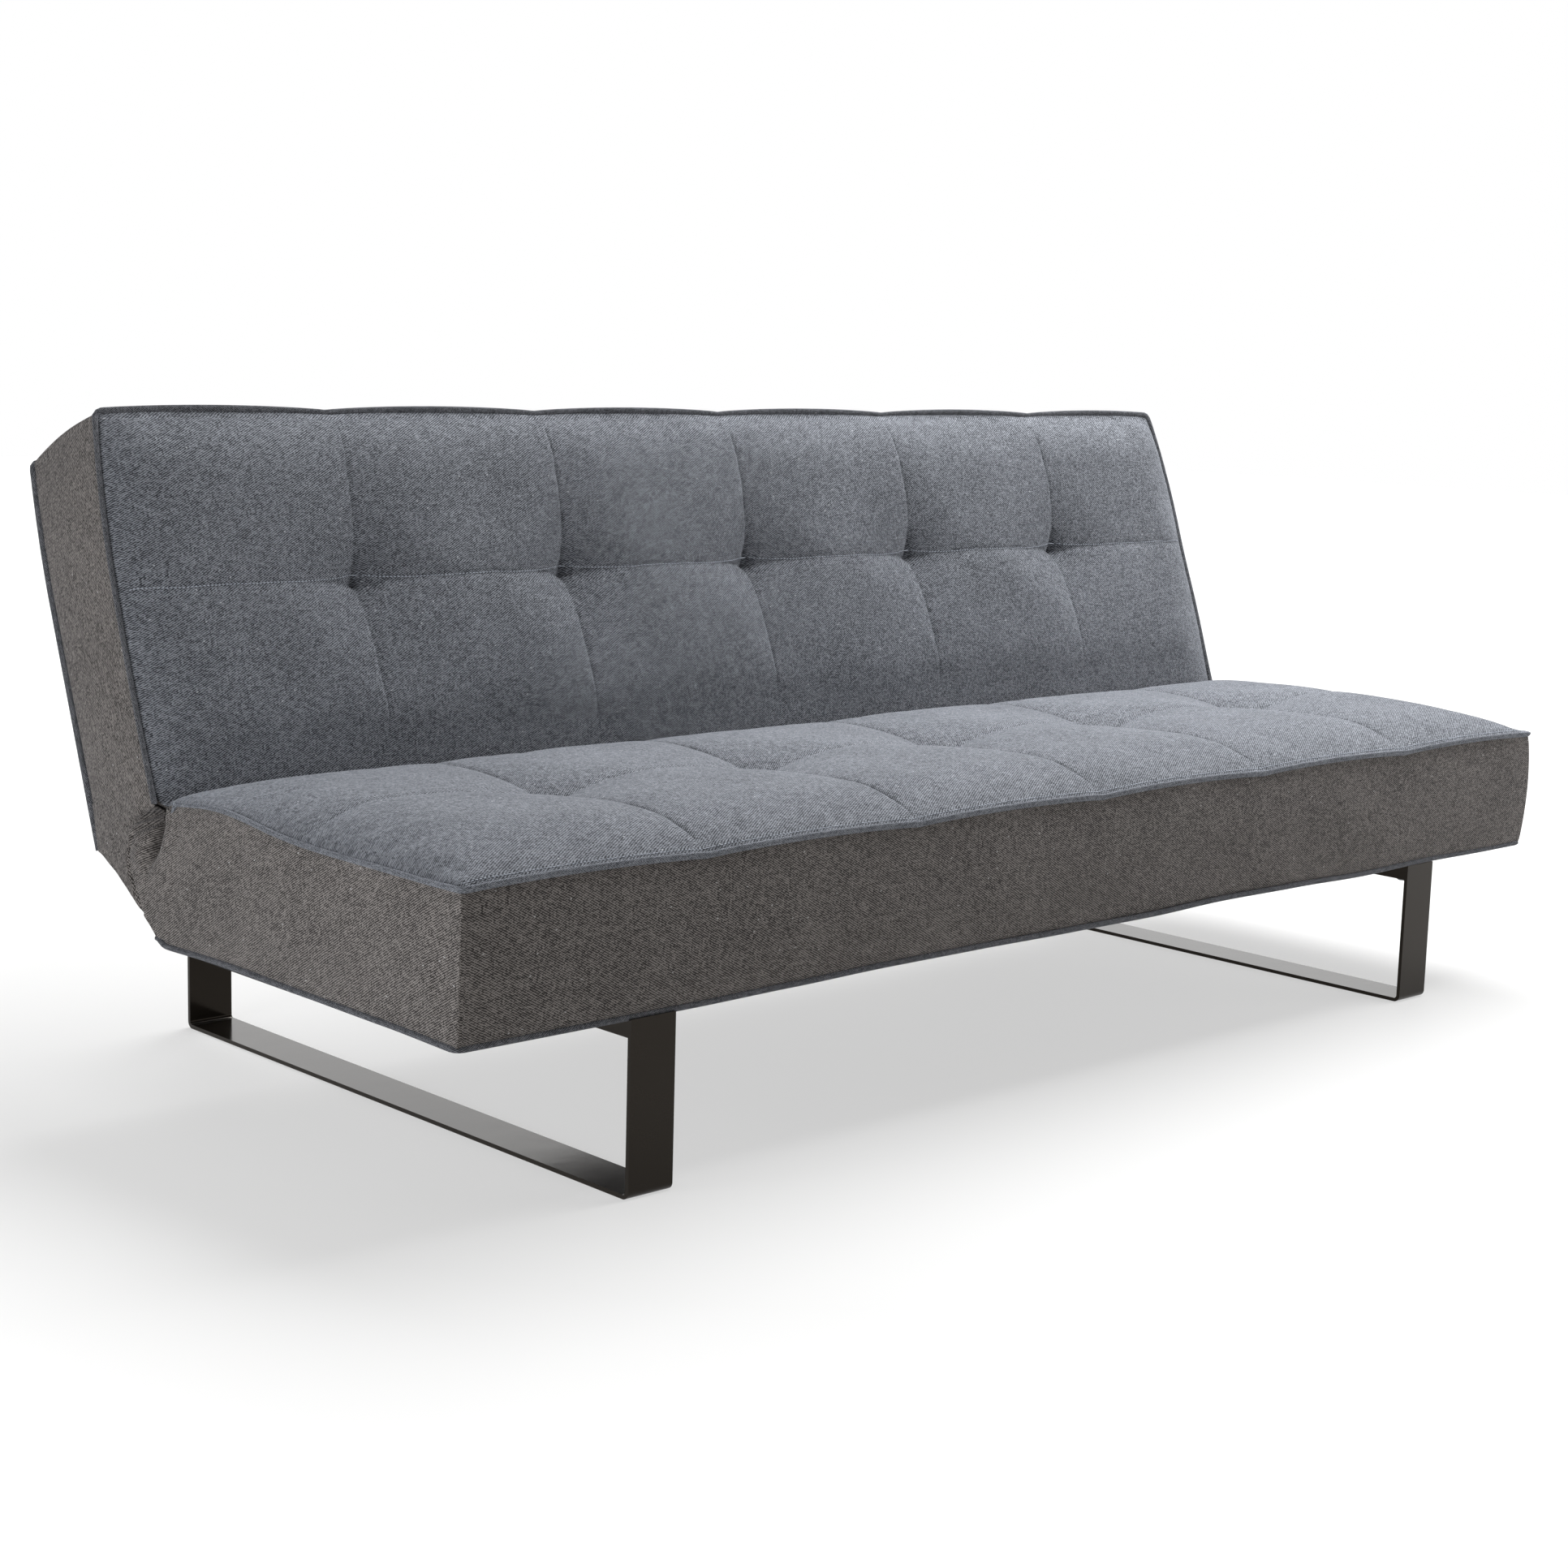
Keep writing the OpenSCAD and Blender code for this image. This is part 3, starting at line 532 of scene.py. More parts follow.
class Nodes:
    """Short way to wire a material's nodes."""

    def __init__(self, name):
        self.mat = bpy.data.materials.new(name)
        self.mat.use_nodes = True
        self.tree = self.mat.node_tree
        self.tree.nodes.clear()
        self.out = self.tree.nodes.new("ShaderNodeOutputMaterial")
        self.shader = self.tree.nodes.new("ShaderNodeBsdfPrincipled")
        self.link(self.shader.outputs[0], self.out.inputs[0])

    def link(self, a, b):
        self.tree.links.new(a, b)

    def node(self, kind, **settings):
        n = self.tree.nodes.new(kind)
        for k, v in settings.items():
            setattr(n, k, v)
        return n

    def put(self, socket, value):
        if isinstance(value, bpy.types.NodeSocket):
            self.link(value, socket)
        else:
            socket.default_value = value

    def math(self, op, a, b=0.0, c=0.0):
        n = self.node("ShaderNodeMath", operation=op)
        self.put(n.inputs[0], a)
        self.put(n.inputs[1], b)
        self.put(n.inputs[2], c)
        return n.outputs[0]

    def mix(self, f, a, b):
        n = self.node("ShaderNodeMix", data_type="RGBA")
        self.put(n.inputs[0], f)
        self.put(n.inputs[6], a)
        self.put(n.inputs[7], b)
        return n.outputs[2]

    def noise(self, vector, scale, detail=2.0, rough=0.5):
        n = self.node("ShaderNodeTexNoise")
        self.put(n.inputs["Vector"], vector)
        n.inputs["Scale"].default_value = scale
        n.inputs["Detail"].default_value = detail
        n.inputs["Roughness"].default_value = rough
        return n.outputs["Fac"]

    def ramp(self, value, low, high):
        n = self.node("ShaderNodeMapRange")
        self.put(n.inputs[0], value)
        n.inputs[1].default_value = low
        n.inputs[2].default_value = high
        n.inputs[3].default_value = 0.0
        n.inputs[4].default_value = 1.0
        return n.outputs[0]

    def bump(self, height, strength, distance, normal=None):
        n = self.node("ShaderNodeBump")
        n.inputs["Strength"].default_value = strength
        n.inputs["Distance"].default_value = distance
        self.put(n.inputs["Height"], height)
        if normal is not None:
            self.put(n.inputs["Normal"], normal)
        return n.outputs[0]


def woven(name, dark, light, fleck, lean=1.0, size=1.0, contrast=1.3):
    """Diamond twill: two crossing diagonal ribs of which one stands out, spun from pale and dark fibres,
    with thicker threads here and there and a few pale slubs. The ribs repeat every 2.3 mm."""
    m = Nodes(name)
    uv = m.node("ShaderNodeUVMap", uv_map="UVMap").outputs[0]
    sep = m.node("ShaderNodeSeparateXYZ")
    m.put(sep.inputs[0], uv)
    u, v = sep.outputs[0], sep.outputs[1]
    wob = m.math("MULTIPLY", m.math("SUBTRACT", m.noise(uv, 28.0, 1.0), 0.5), 0.0022)
    v = m.math("ADD", v, wob)
    a = m.math("MULTIPLY", u, 0.22 * 2000 * math.pi / size)
    b = m.math("MULTIPLY", v, 0.385 * 2000 * math.pi / size)
    main = m.math("COSINE", m.math("ADD", m.math("MULTIPLY", a, lean), b))
    cross = m.math("COSINE", m.math("SUBTRACT", b, m.math("MULTIPLY", a, lean)))
    cell = m.node("ShaderNodeCombineXYZ")
    m.put(cell.inputs[0], m.math("FLOOR", m.math("MULTIPLY", u, 440 / size)))
    m.put(cell.inputs[1], m.math("FLOOR", m.math("MULTIPLY", v, 770 / size)))
    white = m.node("ShaderNodeTexWhiteNoise", noise_dimensions="2D")
    m.put(white.inputs["Vector"], cell.outputs[0])
    grain = white.outputs["Value"]
    along = m.node("ShaderNodeMapping")
    m.put(along.inputs["Vector"], uv)
    along.inputs["Scale"].default_value = (70, 700, 1)
    weft = m.noise(along.outputs[0], 1.0, 1.0)
    upright = m.node("ShaderNodeMapping")
    m.put(upright.inputs["Vector"], uv)
    upright.inputs["Scale"].default_value = (420, 90, 1)
    warp = m.noise(upright.outputs[0], 1.0, 1.0)
    fibre = m.noise(uv, 900.0, 2.0, 0.7)
    tone = m.noise(uv, 9.0, 3.0, 0.55)
    patch = m.noise(uv, 75.0, 2.0, 0.6)
    shares = ((grain, 0.42), (weft, 0.36), (warp, 0.34), (fibre, 0.6), (tone, 0.24), (patch, 0.24))
    ribs = m.math("ADD", m.math("MULTIPLY", main, 0.25), m.math("MULTIPLY", cross, 0.15))
    level = m.math("ADD", ribs, 0.41 - 0.5 * sum(share for part, share in shares))
    for part, share in shares:
        level = m.math("ADD", level, m.math("MULTIPLY", part, share))
    level = m.ramp(level, 0.41 - 0.41 / contrast, 0.41 + 0.59 / contrast)
    base = m.mix(level, dark, light)
    is_fleck = m.math("GREATER_THAN", grain, 0.9994)
    base = m.mix(m.math("MULTIPLY", is_fleck, 0.35), base, fleck)
    # Painted shade: the colour is pulled towards the dark fibres where the mesh's fold attribute marks folds and
    # creases.
    fold_shade = m.node("ShaderNodeAttribute", attribute_name="painted_fold_shade")
    base = m.mix(m.math("MULTIPLY", fold_shade.outputs["Fac"], 0.6), base, dark)
    m.link(base, m.shader.inputs["Base Color"])
    m.shader.inputs["Roughness"].default_value = 0.95
    m.shader.inputs["Specular IOR Level"].default_value = 0.15
    m.shader.inputs["Sheen Weight"].default_value = 0.08
    m.shader.inputs["Sheen Roughness"].default_value = 0.5
    m.shader.inputs["Sheen Tint"].default_value = (0.8, 0.85, 0.95, 1)
    m.link(m.bump(m.math("ADD", level, m.math("MULTIPLY", patch, 0.4)), 0.5, 0.0006), m.shader.inputs["Normal"])
    return m.mat


def powder_coat(name):
    m = Nodes(name)
    co = m.node("ShaderNodeTexCoord").outputs["Object"]
    tone = m.noise(co, 9.0, 4.0)
    m.link(m.mix(tone, (0.006, 0.0048, 0.0036, 1), (0.010, 0.0085, 0.007, 1)), m.shader.inputs["Base Color"])
    rough = m.math("ADD", 0.10, m.math("MULTIPLY", m.noise(co, 30.0, 5.0), 0.08))
    m.link(rough, m.shader.inputs["Roughness"])
    m.shader.inputs["Specular IOR Level"].default_value = 0.18
    # Painted reflection: the warm specular tint warms the coat's reflections as though warm surroundings were
    # mirrored in it.
    m.shader.inputs["Specular Tint"].default_value = (1.0, 0.82, 0.64, 1)
    m.shader.inputs["Coat Weight"].default_value = 0.06
    m.shader.inputs["Coat Roughness"].default_value = 0.06
    peel = m.bump(m.noise(co, 420.0, 2.0), 0.06, 0.0004)
    m.link(m.bump(m.noise(co, 24.0, 2.0), 0.05, 0.002, peel), m.shader.inputs["Normal"])
    return m.mat


def plated(name, colour, rough):
    m = Nodes(name)
    co = m.node("ShaderNodeTexCoord").outputs["Object"]
    dark = tuple(c * 0.72 for c in colour[:3]) + (1,)
    m.link(m.mix(m.noise(co, 90.0, 4.0), dark, colour), m.shader.inputs["Base Color"])
    m.shader.inputs["Metallic"].default_value = 1.0
    m.link(m.math("ADD", rough, m.math("MULTIPLY", m.noise(co, 250.0, 3.0), 0.2)), m.shader.inputs["Roughness"])
    m.link(m.bump(m.noise(co, 700.0, 2.0), 0.15, 0.0004), m.shader.inputs["Normal"])
    return m.mat


def wood(name):
    m = Nodes(name)
    co = m.node("ShaderNodeTexCoord").outputs["Object"]
    stretch = m.node("ShaderNodeMapping")
    m.put(stretch.inputs["Vector"], co)
    stretch.inputs["Scale"].default_value = (0.12, 1.0, 1.0)
    grain = m.noise(stretch.outputs[0], 160.0, 5.0, 0.65)
    m.link(m.mix(grain, (0.42, 0.26, 0.12, 1), (0.66, 0.47, 0.27, 1)), m.shader.inputs["Base Color"])
    m.shader.inputs["Roughness"].default_value = 0.62
    m.link(m.bump(grain, 0.3, 0.0008), m.shader.inputs["Normal"])
    return m.mat


def fibrous(name, low, high, scale, rough=0.95):
    m = Nodes(name)
    co = m.node("ShaderNodeTexCoord").outputs["Object"]
    tone = m.noise(co, scale, 6.0, 0.7)
    m.link(m.mix(tone, low, high), m.shader.inputs["Base Color"])
    m.shader.inputs["Roughness"].default_value = rough
    m.link(m.bump(m.noise(co, scale * 3, 3.0), 0.4, 0.001), m.shader.inputs["Normal"])
    return m.mat


DARK = (0.012, 0.013, 0.016, 1)
PALE = (0.248, 0.260, 0.286, 1)
FLECK = (0.60, 0.61, 0.62, 1)
cloth = woven("cloth_weave", DARK, PALE, FLECK, lean=-1.0)
# The boxing is the same fabric as the top cloth, made darker and warmer: painted shade for the walls, which get
# less and warmer light than the top.
boxing = woven("cloth_boxing_painted_shade", (0.013, 0.011, 0.010, 1), (0.214, 0.196, 0.185, 1), FLECK, contrast=1.65)
edging = woven("cloth_edging", (0.016, 0.018, 0.022, 1), (0.25, 0.262, 0.29, 1), FLECK, size=0.75)
# A darker copy of the piping cloth: painted shade for the hem piping and the back's pipings, which sit in shadow.
shaded_piping_cloth = woven("cloth_piping_painted_shade", (0.010, 0.011, 0.013, 1), (0.165, 0.168, 0.182, 1), FLECK, size=0.75)
thread_mat = fibrous("stitch_thread", (0.24, 0.26, 0.30, 1), (0.40, 0.43, 0.48, 1), 900.0)
coat = powder_coat("black_powder_coat")
zinc = plated("zinc_plate", (0.17, 0.173, 0.178, 1), 0.42)
spring = plated("spring_steel", (0.30, 0.30, 0.32, 1), 0.4)
timber = wood("softwood")
felt = fibrous("felt", (0.10, 0.095, 0.085, 1), (0.22, 0.2, 0.18, 1), 220.0)
foam = fibrous("foam", (0.70, 0.64, 0.42, 1), (0.82, 0.77, 0.58, 1), 400.0)
lining = fibrous("lining", (0.006, 0.006, 0.007, 1), (0.02, 0.02, 0.022, 1), 350.0)
twine = fibrous("twine", (0.5, 0.45, 0.34, 1), (0.66, 0.6, 0.48, 1), 600.0)

SLOT_MATERIALS = {
    "powder_coat": coat, "zinc": zinc, "spring_steel": spring, "timber": timber, "foam": foam,
    "wadding": foam, "felt": felt, "twine": twine, "cloth": cloth, "lining": lining,
}
for row in frame["record"]["subparts"]:
    piece = frame["nodes"][row["node"]]
    piece.data.materials.clear()
    piece.data.materials.append(SLOT_MATERIALS[row["material_slot"]])


def finish_piece(obj, material, body, slot, *replaced):
    """Gives a piece its materials, its body and the CAD nodes that it stands for. The slot is not used."""
    shade = np.zeros(len(obj.data.polygons), np.int32)
    obj.data.polygons.foreach_get("material_index", shade)
    obj.data.materials.clear()
    for m in material if isinstance(material, tuple) else (material,):
        obj.data.materials.append(m)
    obj.data.polygons.foreach_set("material_index", shade)
    if replaced:
        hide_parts(*replaced)
    if body:
        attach(obj, body)
    return obj


# ---------------------------------------------------------------- cloth


def pins_of(x, y, z, low, high, bottom, top, row, sewn_side):
    """How firmly the filling and the sewing hold each point of a cover: fully along the seamed edges and at the
    tufts, a little along the seams, hardly at all between them, and fully under the gussets, where sewn_side is
    how far a point is past the gusset's edge."""
    edge_x, edge_y = SIDE - np.abs(x), np.minimum(y - low, high - y)
    edge_z = np.minimum(z - bottom, top - z)
    second_nearest = np.sort(np.stack([edge_x, edge_y, edge_z]), 0)[1]
    hold = groove(second_nearest, 7)
    d = from_seam(x)
    front = groove(top - z, 3)
    tuft = groove(np.hypot(d, y - row), 9)
    seam = 0.14 * np.maximum(groove(d, 3), groove(y - row, 3))
    hold = np.maximum.reduce([hold, front * np.maximum(tuft, seam), smooth((sewn_side - 90) / 30)])
    hidden = groove(z - bottom, 4)
    walls = 0.4 * np.clip((top - z) / 4, 0, 1)
    gusset_end = smooth((np.abs(x) - 880) / 30) * smooth(sewn_side / 60)
    everywhere = np.full_like(z, 0.07)
    return np.clip(np.maximum.reduce([hold, hidden, walls, gusset_end, everywhere]), 0, 1)


def inflate(obj, pins, pressure=3.0, frames=20, cap=0.009, share=0.5):
    """Lets the cover settle as cloth over its filling: slightly too large a cover, pushed out by the filling and
    held where it is sewn. Each point keeps a share of its move, and no move counts for more than cap."""
    before = get_points(obj)
    group = obj.vertex_groups.new(name="sewn")
    for i, w in enumerate(pins):
        group.add([i], float(w), "REPLACE")
    mod = obj.modifiers.new("cloth", "CLOTH")
    c = mod.settings
    c.quality = 6
    c.mass = 0.25
    c.tension_stiffness = c.compression_stiffness = 14
    c.shear_stiffness = 6
    c.bending_stiffness = 0.4
    c.air_damping = 2
    c.use_pressure = True
    c.uniform_pressure_force = pressure
    c.shrink_min = -0.012
    c.vertex_group_mass = "sewn"
    c.pin_stiffness = 1.0
    c.effector_weights.gravity = 0
    mod.collision_settings.use_collision = False
    mod.point_cache.frame_start, mod.point_cache.frame_end = 1, frames
    scene = bpy.context.scene
    for f in range(1, frames + 1):
        scene.frame_set(f)
    shaped = obj.evaluated_get(bpy.context.evaluated_depsgraph_get())
    after = np.zeros(before.size)
    shaped.data.vertices.foreach_get("co", after)
    move = after.reshape(-1, 3) - before
    length = np.linalg.norm(move, axis=1)[:, None]
    move = move * np.minimum(1, cap / np.maximum(length, 1e-9)) * share
    obj.modifiers.remove(mod)
    obj.vertex_groups.remove(group)
    scene.frame_set(1)
    set_points(obj, before + move)


# ---------------------------------------------------------------- the two pads

seat_xs = graded(-SIDE, SIDE, [*SEAMS, -921, 921], STEP_X)
seat_ys = graded(0, SEAT_REAR, [SEAT_ROW], STEP_Y)
seat_zs = np.linspace(SEAT_HEM, SEAT_TOP, WALL_LINES)
seat_pad, seat_flat = block("seat_pad", seat_xs, seat_ys, seat_zs, seat_place, seat_cloth)

back_xs = graded(-SIDE, SIDE, list(SEAMS), STEP_X)
back_ys = graded(BACK_LOW, BACK_TOP, [BACK_ROW], STEP_Y)
back_zs = np.linspace(0, BACK_THICK, WALL_LINES)
back_pad, back_flat = block("back_pad", back_xs, back_ys, back_zs, back_place_pad, back_cloth)

x, y, z = seat_flat
inflate(seat_pad, pins_of(x, y, z, 0, SEAT_REAR, SEAT_HEM, SEAT_TOP, SEAT_ROW, y - 430))
x, y, z = back_flat
inflate(back_pad, pins_of(x, y, z, BACK_LOW, BACK_TOP, 0, BACK_THICK, BACK_ROW, 230 - y))
subdivide(seat_pad)
subdivide(back_pad)
# The walls (material 1) take the boxing copy of the cloth, darkened and warmed as painted shade.
finish_piece(seat_pad, (cloth, boxing), "base", "cloth",
             "seat_cover", "seat_foam", "seat_wadding", "seat_tuft_ties")
finish_piece(back_pad, (cloth, boxing), "back", "cloth",
             "back_cover", "back_foam", "back_wadding", "back_rear_wadding", "back_tuft_ties", "back_felt")

# ---------------------------------------------------------------- piping pieces


def seat_rim_path():
    """Top piping of the seat: left side, front, right side."""
    flat = round_path([(-937.0, 546), (-937.0, 2.5), (937.0, 2.5), (937.0, 546)], 9)
    flat = resample(flat, PIPING_STEP)
    x, y = flat.T
    out_x, out_y = np.where(np.abs(x) > 925, np.sign(x), 0), np.where(y < 15, -1.0, 0.0)
    z = seat_rim_z(x, y) + smooth((60 - y) / 50)
    dip = smooth((y - 526) / 20)
    z = z - 14 * dip
    x = x - np.sign(x) * 3 * dip
    return base_place(x, y, z), np.stack([out_x, out_y, np.full(len(x), 0.9)], -1)


def seat_hem_path():
    flat = round_path([(-933, 579), (-933, 15), (939, 9), (939, 579)], 10)
    flat = resample(flat, PIPING_STEP)
    x, y = flat.T
    y = y + np.where(y < 20, 0.4 * noise(x, y, 90, 12), 0)
    out_x, out_y = np.where(np.abs(x) > 920, np.sign(x), 0), np.where(y < 30, -1.0, 0.0)
    return base_place(x, y, seat_hem_z(x, y) + 0.5), np.stack([out_x, out_y, np.full(len(x), -0.8)], -1)


def outward_of(x, u, n, dx, du, dn):
    """Points on the back, and the direction from each one in which its piping stands out."""
    centre = back_place(x, u, n)
    return centre, back_place(x + dx, u + du, n + dn) - centre


def back_rim_path():
    flat = round_path([(-937.5, GUSSET_U), (-937.5, BACK_TOP), (937.5, BACK_TOP), (937.5, GUSSET_U)], 9)
    flat = resample(flat, PIPING_STEP)
    x, u = flat.T
    x = x * (back_half(u, x > 0) + 1) / 937.5
    top = smooth((u - BACK_TOP + 14) / 14)
    n = back_front_n(x, u)
    lifted = u + (bumps(x, 5.5) - 1.0) * top
    return outward_of(x, lifted, n, np.where(u < BACK_TOP - 3, np.sign(x), 0) * 10,
                      np.where(u > BACK_TOP - 12, 10, 0), 9)


def back_rear_rim_path():
    top_u = BACK_TOP - 15
    flat = round_path([(-937.0, 54), (-937.0, top_u), (937.0, top_u), (937.0, 54)], 9)
    flat = resample(flat, PIPING_STEP)
    x, u = flat.T
    x = x * (back_half(u, x > 0) + 0.5) / 937.0
    top = smooth((u - top_u + 14) / 14)
    n = back_rear_n(u)
    lifted = u + 0.25 * (bumps(x, 5.5) - 1.0) * top + 1.2 * noise(x, u, 120, 51) * top
    return outward_of(x, lifted, n, np.where(u < top_u - 3, np.sign(x), 0) * 10,
                      np.where(u > top_u - 12, 10, 0), -9)


rim, rim_out = seat_rim_path()
rim_height = 0.0052 + 0.0056 * smooth((40 - (rim[:, 1:2] * 1000 + DEPTH / 2)) / 36)
seat_piping = sweep("seat_top_piping", rim, rim_out, 0.0062, rim_height)
seat_hem = sweep("seat_bottom_piping", *seat_hem_path(), 0.006, 0.0072)
back_piping = sweep("back_front_edge_piping", *back_rim_path(), 0.006, 0.0105)
rear_piping = sweep("back_rear_edge_piping", *back_rear_rim_path(), 0.006, 0.0085)
finish_piece(seat_piping, edging, "base", "cloth", "seat_piping")
# The hem piping and the back's pipings take the darkened cloth as painted shade.
finish_piece(seat_hem, shaded_piping_cloth, "base", "cloth", "seat_hem_piping")
finish_piece(back_piping, shaded_piping_cloth, "back", "cloth", "back_front_piping")
finish_piece(rear_piping, shaded_piping_cloth, "back", "cloth", "back_rear_piping")

# ---------------------------------------------------------------- stitching


def stitches(name, pad, path, body, length=3.4, gap=1.5, radius=0.55):
    """Row of thread stitches laid on a pad along a path, each one a small spindle pressed into the cloth."""
    on, normal = [], []
    for p in resample(path, (length + gap) / 1000):
        _, q, n, _ = pad.closest_point_on_mesh(Vector(p))
        on.append(q[:])
        normal.append(n[:])
    on, normal = np.array(on), np.array(normal)
    keep = length / (length + gap)
    points, faces = [], []
    for a, b, n in zip(on[:-1], on[1:], normal[:-1]):
        b = a + (b - a) * keep
        t = (b - a) / max(np.linalg.norm(b - a), 1e-9)
        side = np.cross(t, n)
        first = len(points)
        for f, r, lift in ((0.0, 0.35, -0.3), (0.28, 1.0, 0.35), (0.72, 1.0, 0.35), (1.0, 0.35, -0.3)):
            c = a + (b - a) * f + n * radius * lift / 1000
            for k in range(5):
                g = 2 * math.pi * k / 5
                points.append(c + (side * math.cos(g) * 1.25 + n * math.sin(g)) * radius * r / 1000)
        for ring in range(3):
            for k in range(5):
                i, j = first + ring * 5 + k, first + ring * 5 + (k + 1) % 5
                faces.append([i, j, j + 5, i + 5])
        faces.append([first + k for k in reversed(range(5))])
        faces.append([first + 15 + k for k in range(5)])
    finish_piece(new_object(name, points, faces), thread_mat, body, "twine")


line = np.linspace(-930, 930, 400)
stitches("back_seam_stitching", back_pad, back_place(line, BACK_ROW + 3.5 + 0 * line, 128 + 0 * line), "back")
line_y = 10.5 + 0 * line
stitches("seat_front_stitching", seat_pad, base_place(line, line_y, seat_rim_z(line, line_y) + 6), "base")
side_y = np.linspace(12, 540, 120)
for side in (-1, 1):
    side_x = side * 937.5 + 0 * side_y
    path = base_place(side_x, side_y, seat_rim_z(side_x, side_y) + 1.5)
    stitches("seat_side_stitching_" + ("minus_x" if side < 0 else "plus_x"), seat_pad, path, "base")

# ---------------------------------------------------------------- gussets and crease strip


def gusset(side):
    """Gathered side panel that carries the seat's boxing round into the back's boxing. It overlaps both by a
    hand's width and sinks into them there, so only its seam and its folds show."""
    ns, nw = 64, 110
    s = np.linspace(0, 1, ns + 1)[:, None]
    w = np.linspace(-0.62, 1.5, nw + 1)[None, :]
    inner = np.clip(w, 0, 1)
    seat_y, seat_z = GUSSET_Y + GUSSET_Y_RUN * s, 351 - 150 * s
    u, n = GUSSET_U - GUSSET_U_DROP * s, FRONT_N - 3 - 137 * s
    back_y, back_z = yz_of_back(u, n)
    y = seat_y + (back_y - seat_y) * inner
    z = seat_z + (back_z - seat_z) * inner
    y = y + np.clip(w, -1, 0) * 84
    over = np.clip(w - 1, 0, 1) * 110
    y, z = y + over * math.cos(LEAN), z + over * math.sin(LEAN)
    tent = np.sin(np.pi * inner)
    dip = tent * np.exp(-s / 0.16)
    bow = tent ** 0.7 * smooth((s - 0.6) / 0.4)
    y, z = y - 7.0 * bow + 1.0 * dip, z + 9.0 * bow - 26.0 * dip

    seat_x = seat_side_x(y, z, side > 0)
    back_x = back_side_x(*un_of_back(y, z), side > 0)
    x = seat_x * (1 - inner) + back_x * inner
    free = smooth((w + 0.1) / 0.25) * smooth((1.12 - w) / 0.25)
    seam_at = 0.97 - 0.72 * smooth((s - 0.25) / 0.8)
    mouth = -21 * groove(w - 0.42, 0.26) * np.exp(-s / 0.1)
    soft = 1.6 * noise(y + 2 * z, z - y, 34, 61) * tent
    x = x + (mouth + soft) * free
    lap = 1.0 - 2.2 * smooth((-w - 0.08) / 0.5) - 2.2 * smooth((w - 1.05) / 0.4)
    x = x + lap
    points = base_place(side * x, y, z + 0 * x)
    on_seat, on_back = seat_cloth(points)[..., 1:3], back_cloth(points)[..., 1:3]
    faces, uvs = [], []
    for i in range(ns):
        for j in range(nw):
            q = [(i, j), (i, j + 1), (i + 1, j + 1), (i + 1, j)]
            if side > 0:
                q = q[::-1]
            faces.append([a * (nw + 1) + b for a, b in q])
            cloth_uv = on_seat if w[0, j] < seam_at[i, 0] else on_back
            uvs += [cloth_uv[a, b] for a, b in q]
    obj = new_object("side_gusset_" + ("minus_x" if side < 0 else "plus_x"), points, faces, uvs)
    # Painted shade: this marks the folds and the gusset's mouth, where shade falls, for the cloth colour to be
    # darkened there.
    shade = np.clip(gather(y, z) / 13, 0, 1) + groove(w - 0.42, 0.3) * np.exp(-s / 0.12)
    depth = obj.data.attributes.new("painted_fold_shade", "FLOAT", "POINT")
    depth.data.foreach_set("value", np.clip(shade, 0, 1).ravel())
    thicken(obj, 0.0016, -1.0)
    # The gusset takes the boxing copy of the cloth, darkened and warmed as painted shade.
    finish_piece(obj, boxing, None, "cloth", "side_gusset_left" if side < 0 else "side_gusset_right")
    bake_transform(obj)


gusset(-1)
gusset(1)


def crease():
    """Cloth from the seat's rear edge down to the back's lower front edge."""
    nx, nt, half = 150, 16, 918
    x = np.linspace(-half, half, nx + 1)[:, None]
    t = np.linspace(0, 1, nt + 1)[None, :]
    a0, a1 = math.radians(138.0), math.radians(187.0)
    angle = a0 + (a1 - a0) * t
    r = 133.0 + 6 * (1 - smooth(t / 0.3)) + 0 * x
    y = PIVOT[0] + r * np.cos(angle)
    z = PIVOT[1] + r * np.sin(angle)
    x = x + 0 * t
    faces, uvs = [], []
    for i in range(nx):
        for j in range(nt):
            corners = ((i, j), (i + 1, j), (i + 1, j + 1), (i, j + 1))
            faces.append([a * (nt + 1) + b for a, b in corners])
            uvs += [(a / nx * 2 * half / 1000, b / nt * 0.12) for a, b in corners]
    obj = new_object("crease_cloth", base_place(x, y, z), faces, uvs)
    thicken(obj, 0.0012, 0.0)
    finish_piece(obj, cloth, None, "cloth", "crease_strip")
    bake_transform(obj)


crease()

# ---------------------------------------------------------------- stage, light and camera


def stage_floor():
    size = 14.0
    corners = [(-size, -size, 0), (size, -size, 0), (size, size, 0), (-size, size, 0)]
    obj = new_object("floor", corners, [[0, 1, 2, 3]])
    m = Nodes("floor_paint")
    m.shader.inputs["Base Color"].default_value = (0.24, 0.238, 0.233, 1)
    m.shader.inputs["Roughness"].default_value = 0.7
    m.shader.inputs["Specular IOR Level"].default_value = 0.2
    far = m.node("ShaderNodeVectorMath", operation="LENGTH")
    m.put(far.inputs[0], m.node("ShaderNodeTexCoord").outputs["Object"])
    glow = m.ramp(far.outputs["Value"], 1.1, 3.4)
    m.shader.inputs["Emission Color"].default_value = (1, 1, 1, 1)
    m.link(m.math("ADD", m.math("MULTIPLY", glow, 0.45), 0.55), m.shader.inputs["Emission Strength"])
    obj.data.materials.append(m.mat)


def area_light(name, place, target, size_x, size_y, power, colour):
    data = bpy.data.lights.new(name, "AREA")
    data.shape = "RECTANGLE"
    data.size, data.size_y = size_x, size_y
    data.energy = power
    data.color = colour
    obj = bpy.data.objects.new(name, data)
    bpy.context.collection.objects.link(obj)
    obj.location = place
    obj.rotation_euler = (Vector(target) - Vector(place)).to_track_quat("-Z", "Y").to_euler()


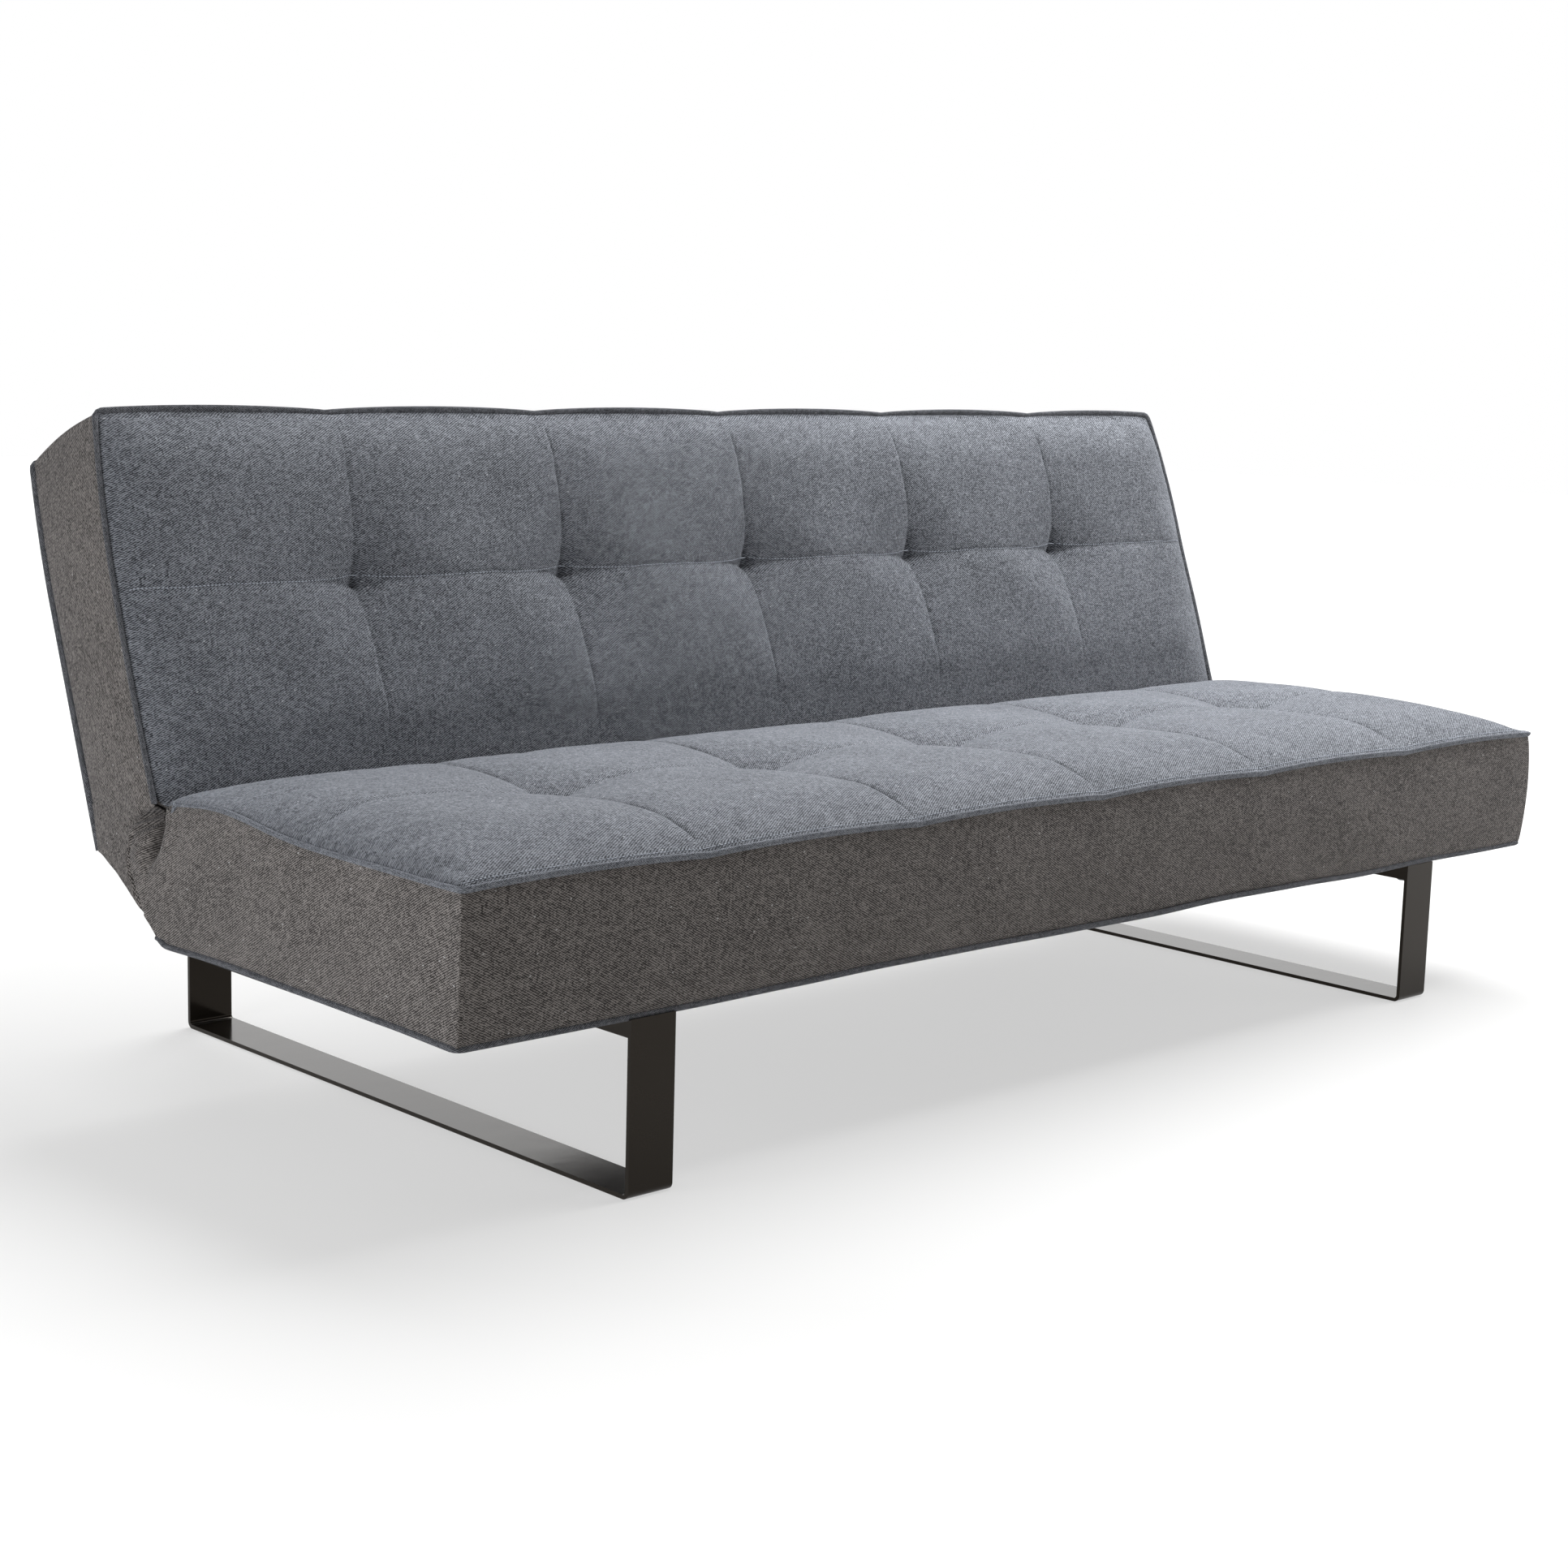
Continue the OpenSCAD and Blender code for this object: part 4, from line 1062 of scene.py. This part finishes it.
def world_light():
    """White behind the sofa and in its reflections, and a weak warm fill from all round."""
    world = bpy.data.worlds.new("studio")
    bpy.context.scene.world = world
    world.use_nodes = True
    t = world.node_tree
    t.nodes.clear()
    out = t.nodes.new("ShaderNodeOutputWorld")
    sky = t.nodes.new("ShaderNodeBackground")
    fill = t.nodes.new("ShaderNodeBackground")
    pick = t.nodes.new("ShaderNodeMixShader")
    path = t.nodes.new("ShaderNodeLightPath")
    seen = t.nodes.new("ShaderNodeMath")
    seen.operation = "MAXIMUM"
    gloss = t.nodes.new("ShaderNodeMath")
    gloss.operation = "MULTIPLY_ADD"
    gloss.inputs[1].default_value = 0.6
    gloss.inputs[2].default_value = 1.0
    t.links.new(path.outputs["Is Glossy Ray"], gloss.inputs[0])
    t.links.new(gloss.outputs[0], sky.inputs[1])
    sky.inputs[0].default_value = (1, 1, 1, 1)
    fill.inputs[0].default_value = (1.0, 0.96, 0.92, 1)
    fill.inputs[1].default_value = 0.12
    t.links.new(path.outputs["Is Camera Ray"], seen.inputs[0])
    t.links.new(path.outputs["Is Glossy Ray"], seen.inputs[1])
    t.links.new(seen.outputs[0], pick.inputs[0])
    t.links.new(fill.outputs[0], pick.inputs[1])
    t.links.new(sky.outputs[0], pick.inputs[2])
    t.links.new(pick.outputs[0], out.inputs[0])


stage_floor()
world_light()
area_light("overhead", (1.35, 0.38, 2.75), (0.25, 0.12, 0.35), 3.2, 2.4, 262, (0.975, 0.985, 1.0))
area_light("left_fill", (-2.7, -0.26, 0.50), (-0.94, -0.30, 0.05), 0.9, 0.8, 27, (0.95, 0.97, 1.0))
area_light("front_right", (2.6, -2.4, 1.0), (0.3, 0.1, 0.55), 1.5, 1.0, 26, (1.0, 0.99, 0.98))

cam_data = bpy.data.cameras.new("camera")
cam_data.lens = 60.30
cam_data.sensor_width = 36.0
cam_data.clip_end = 60
camera = bpy.data.objects.new("camera", cam_data)
bpy.context.collection.objects.link(camera)
azimuth, elevation, roll = math.radians(-43.2), math.radians(9.45), math.radians(1.6)
level = math.cos(elevation)
away = Vector((math.sin(azimuth) * level, -math.cos(azimuth) * level, math.sin(elevation)))
target = Vector((-0.5183, -0.4338, 0.4163))
distance = 2.7637
camera.location = target + away * distance
camera.rotation_mode = "QUATERNION"
camera.rotation_quaternion = (-away).to_track_quat("-Z", "Y") @ Quaternion((0, 0, 1), roll)
bpy.context.scene.camera = camera
bpy.context.scene.view_settings.view_transform = "Standard"
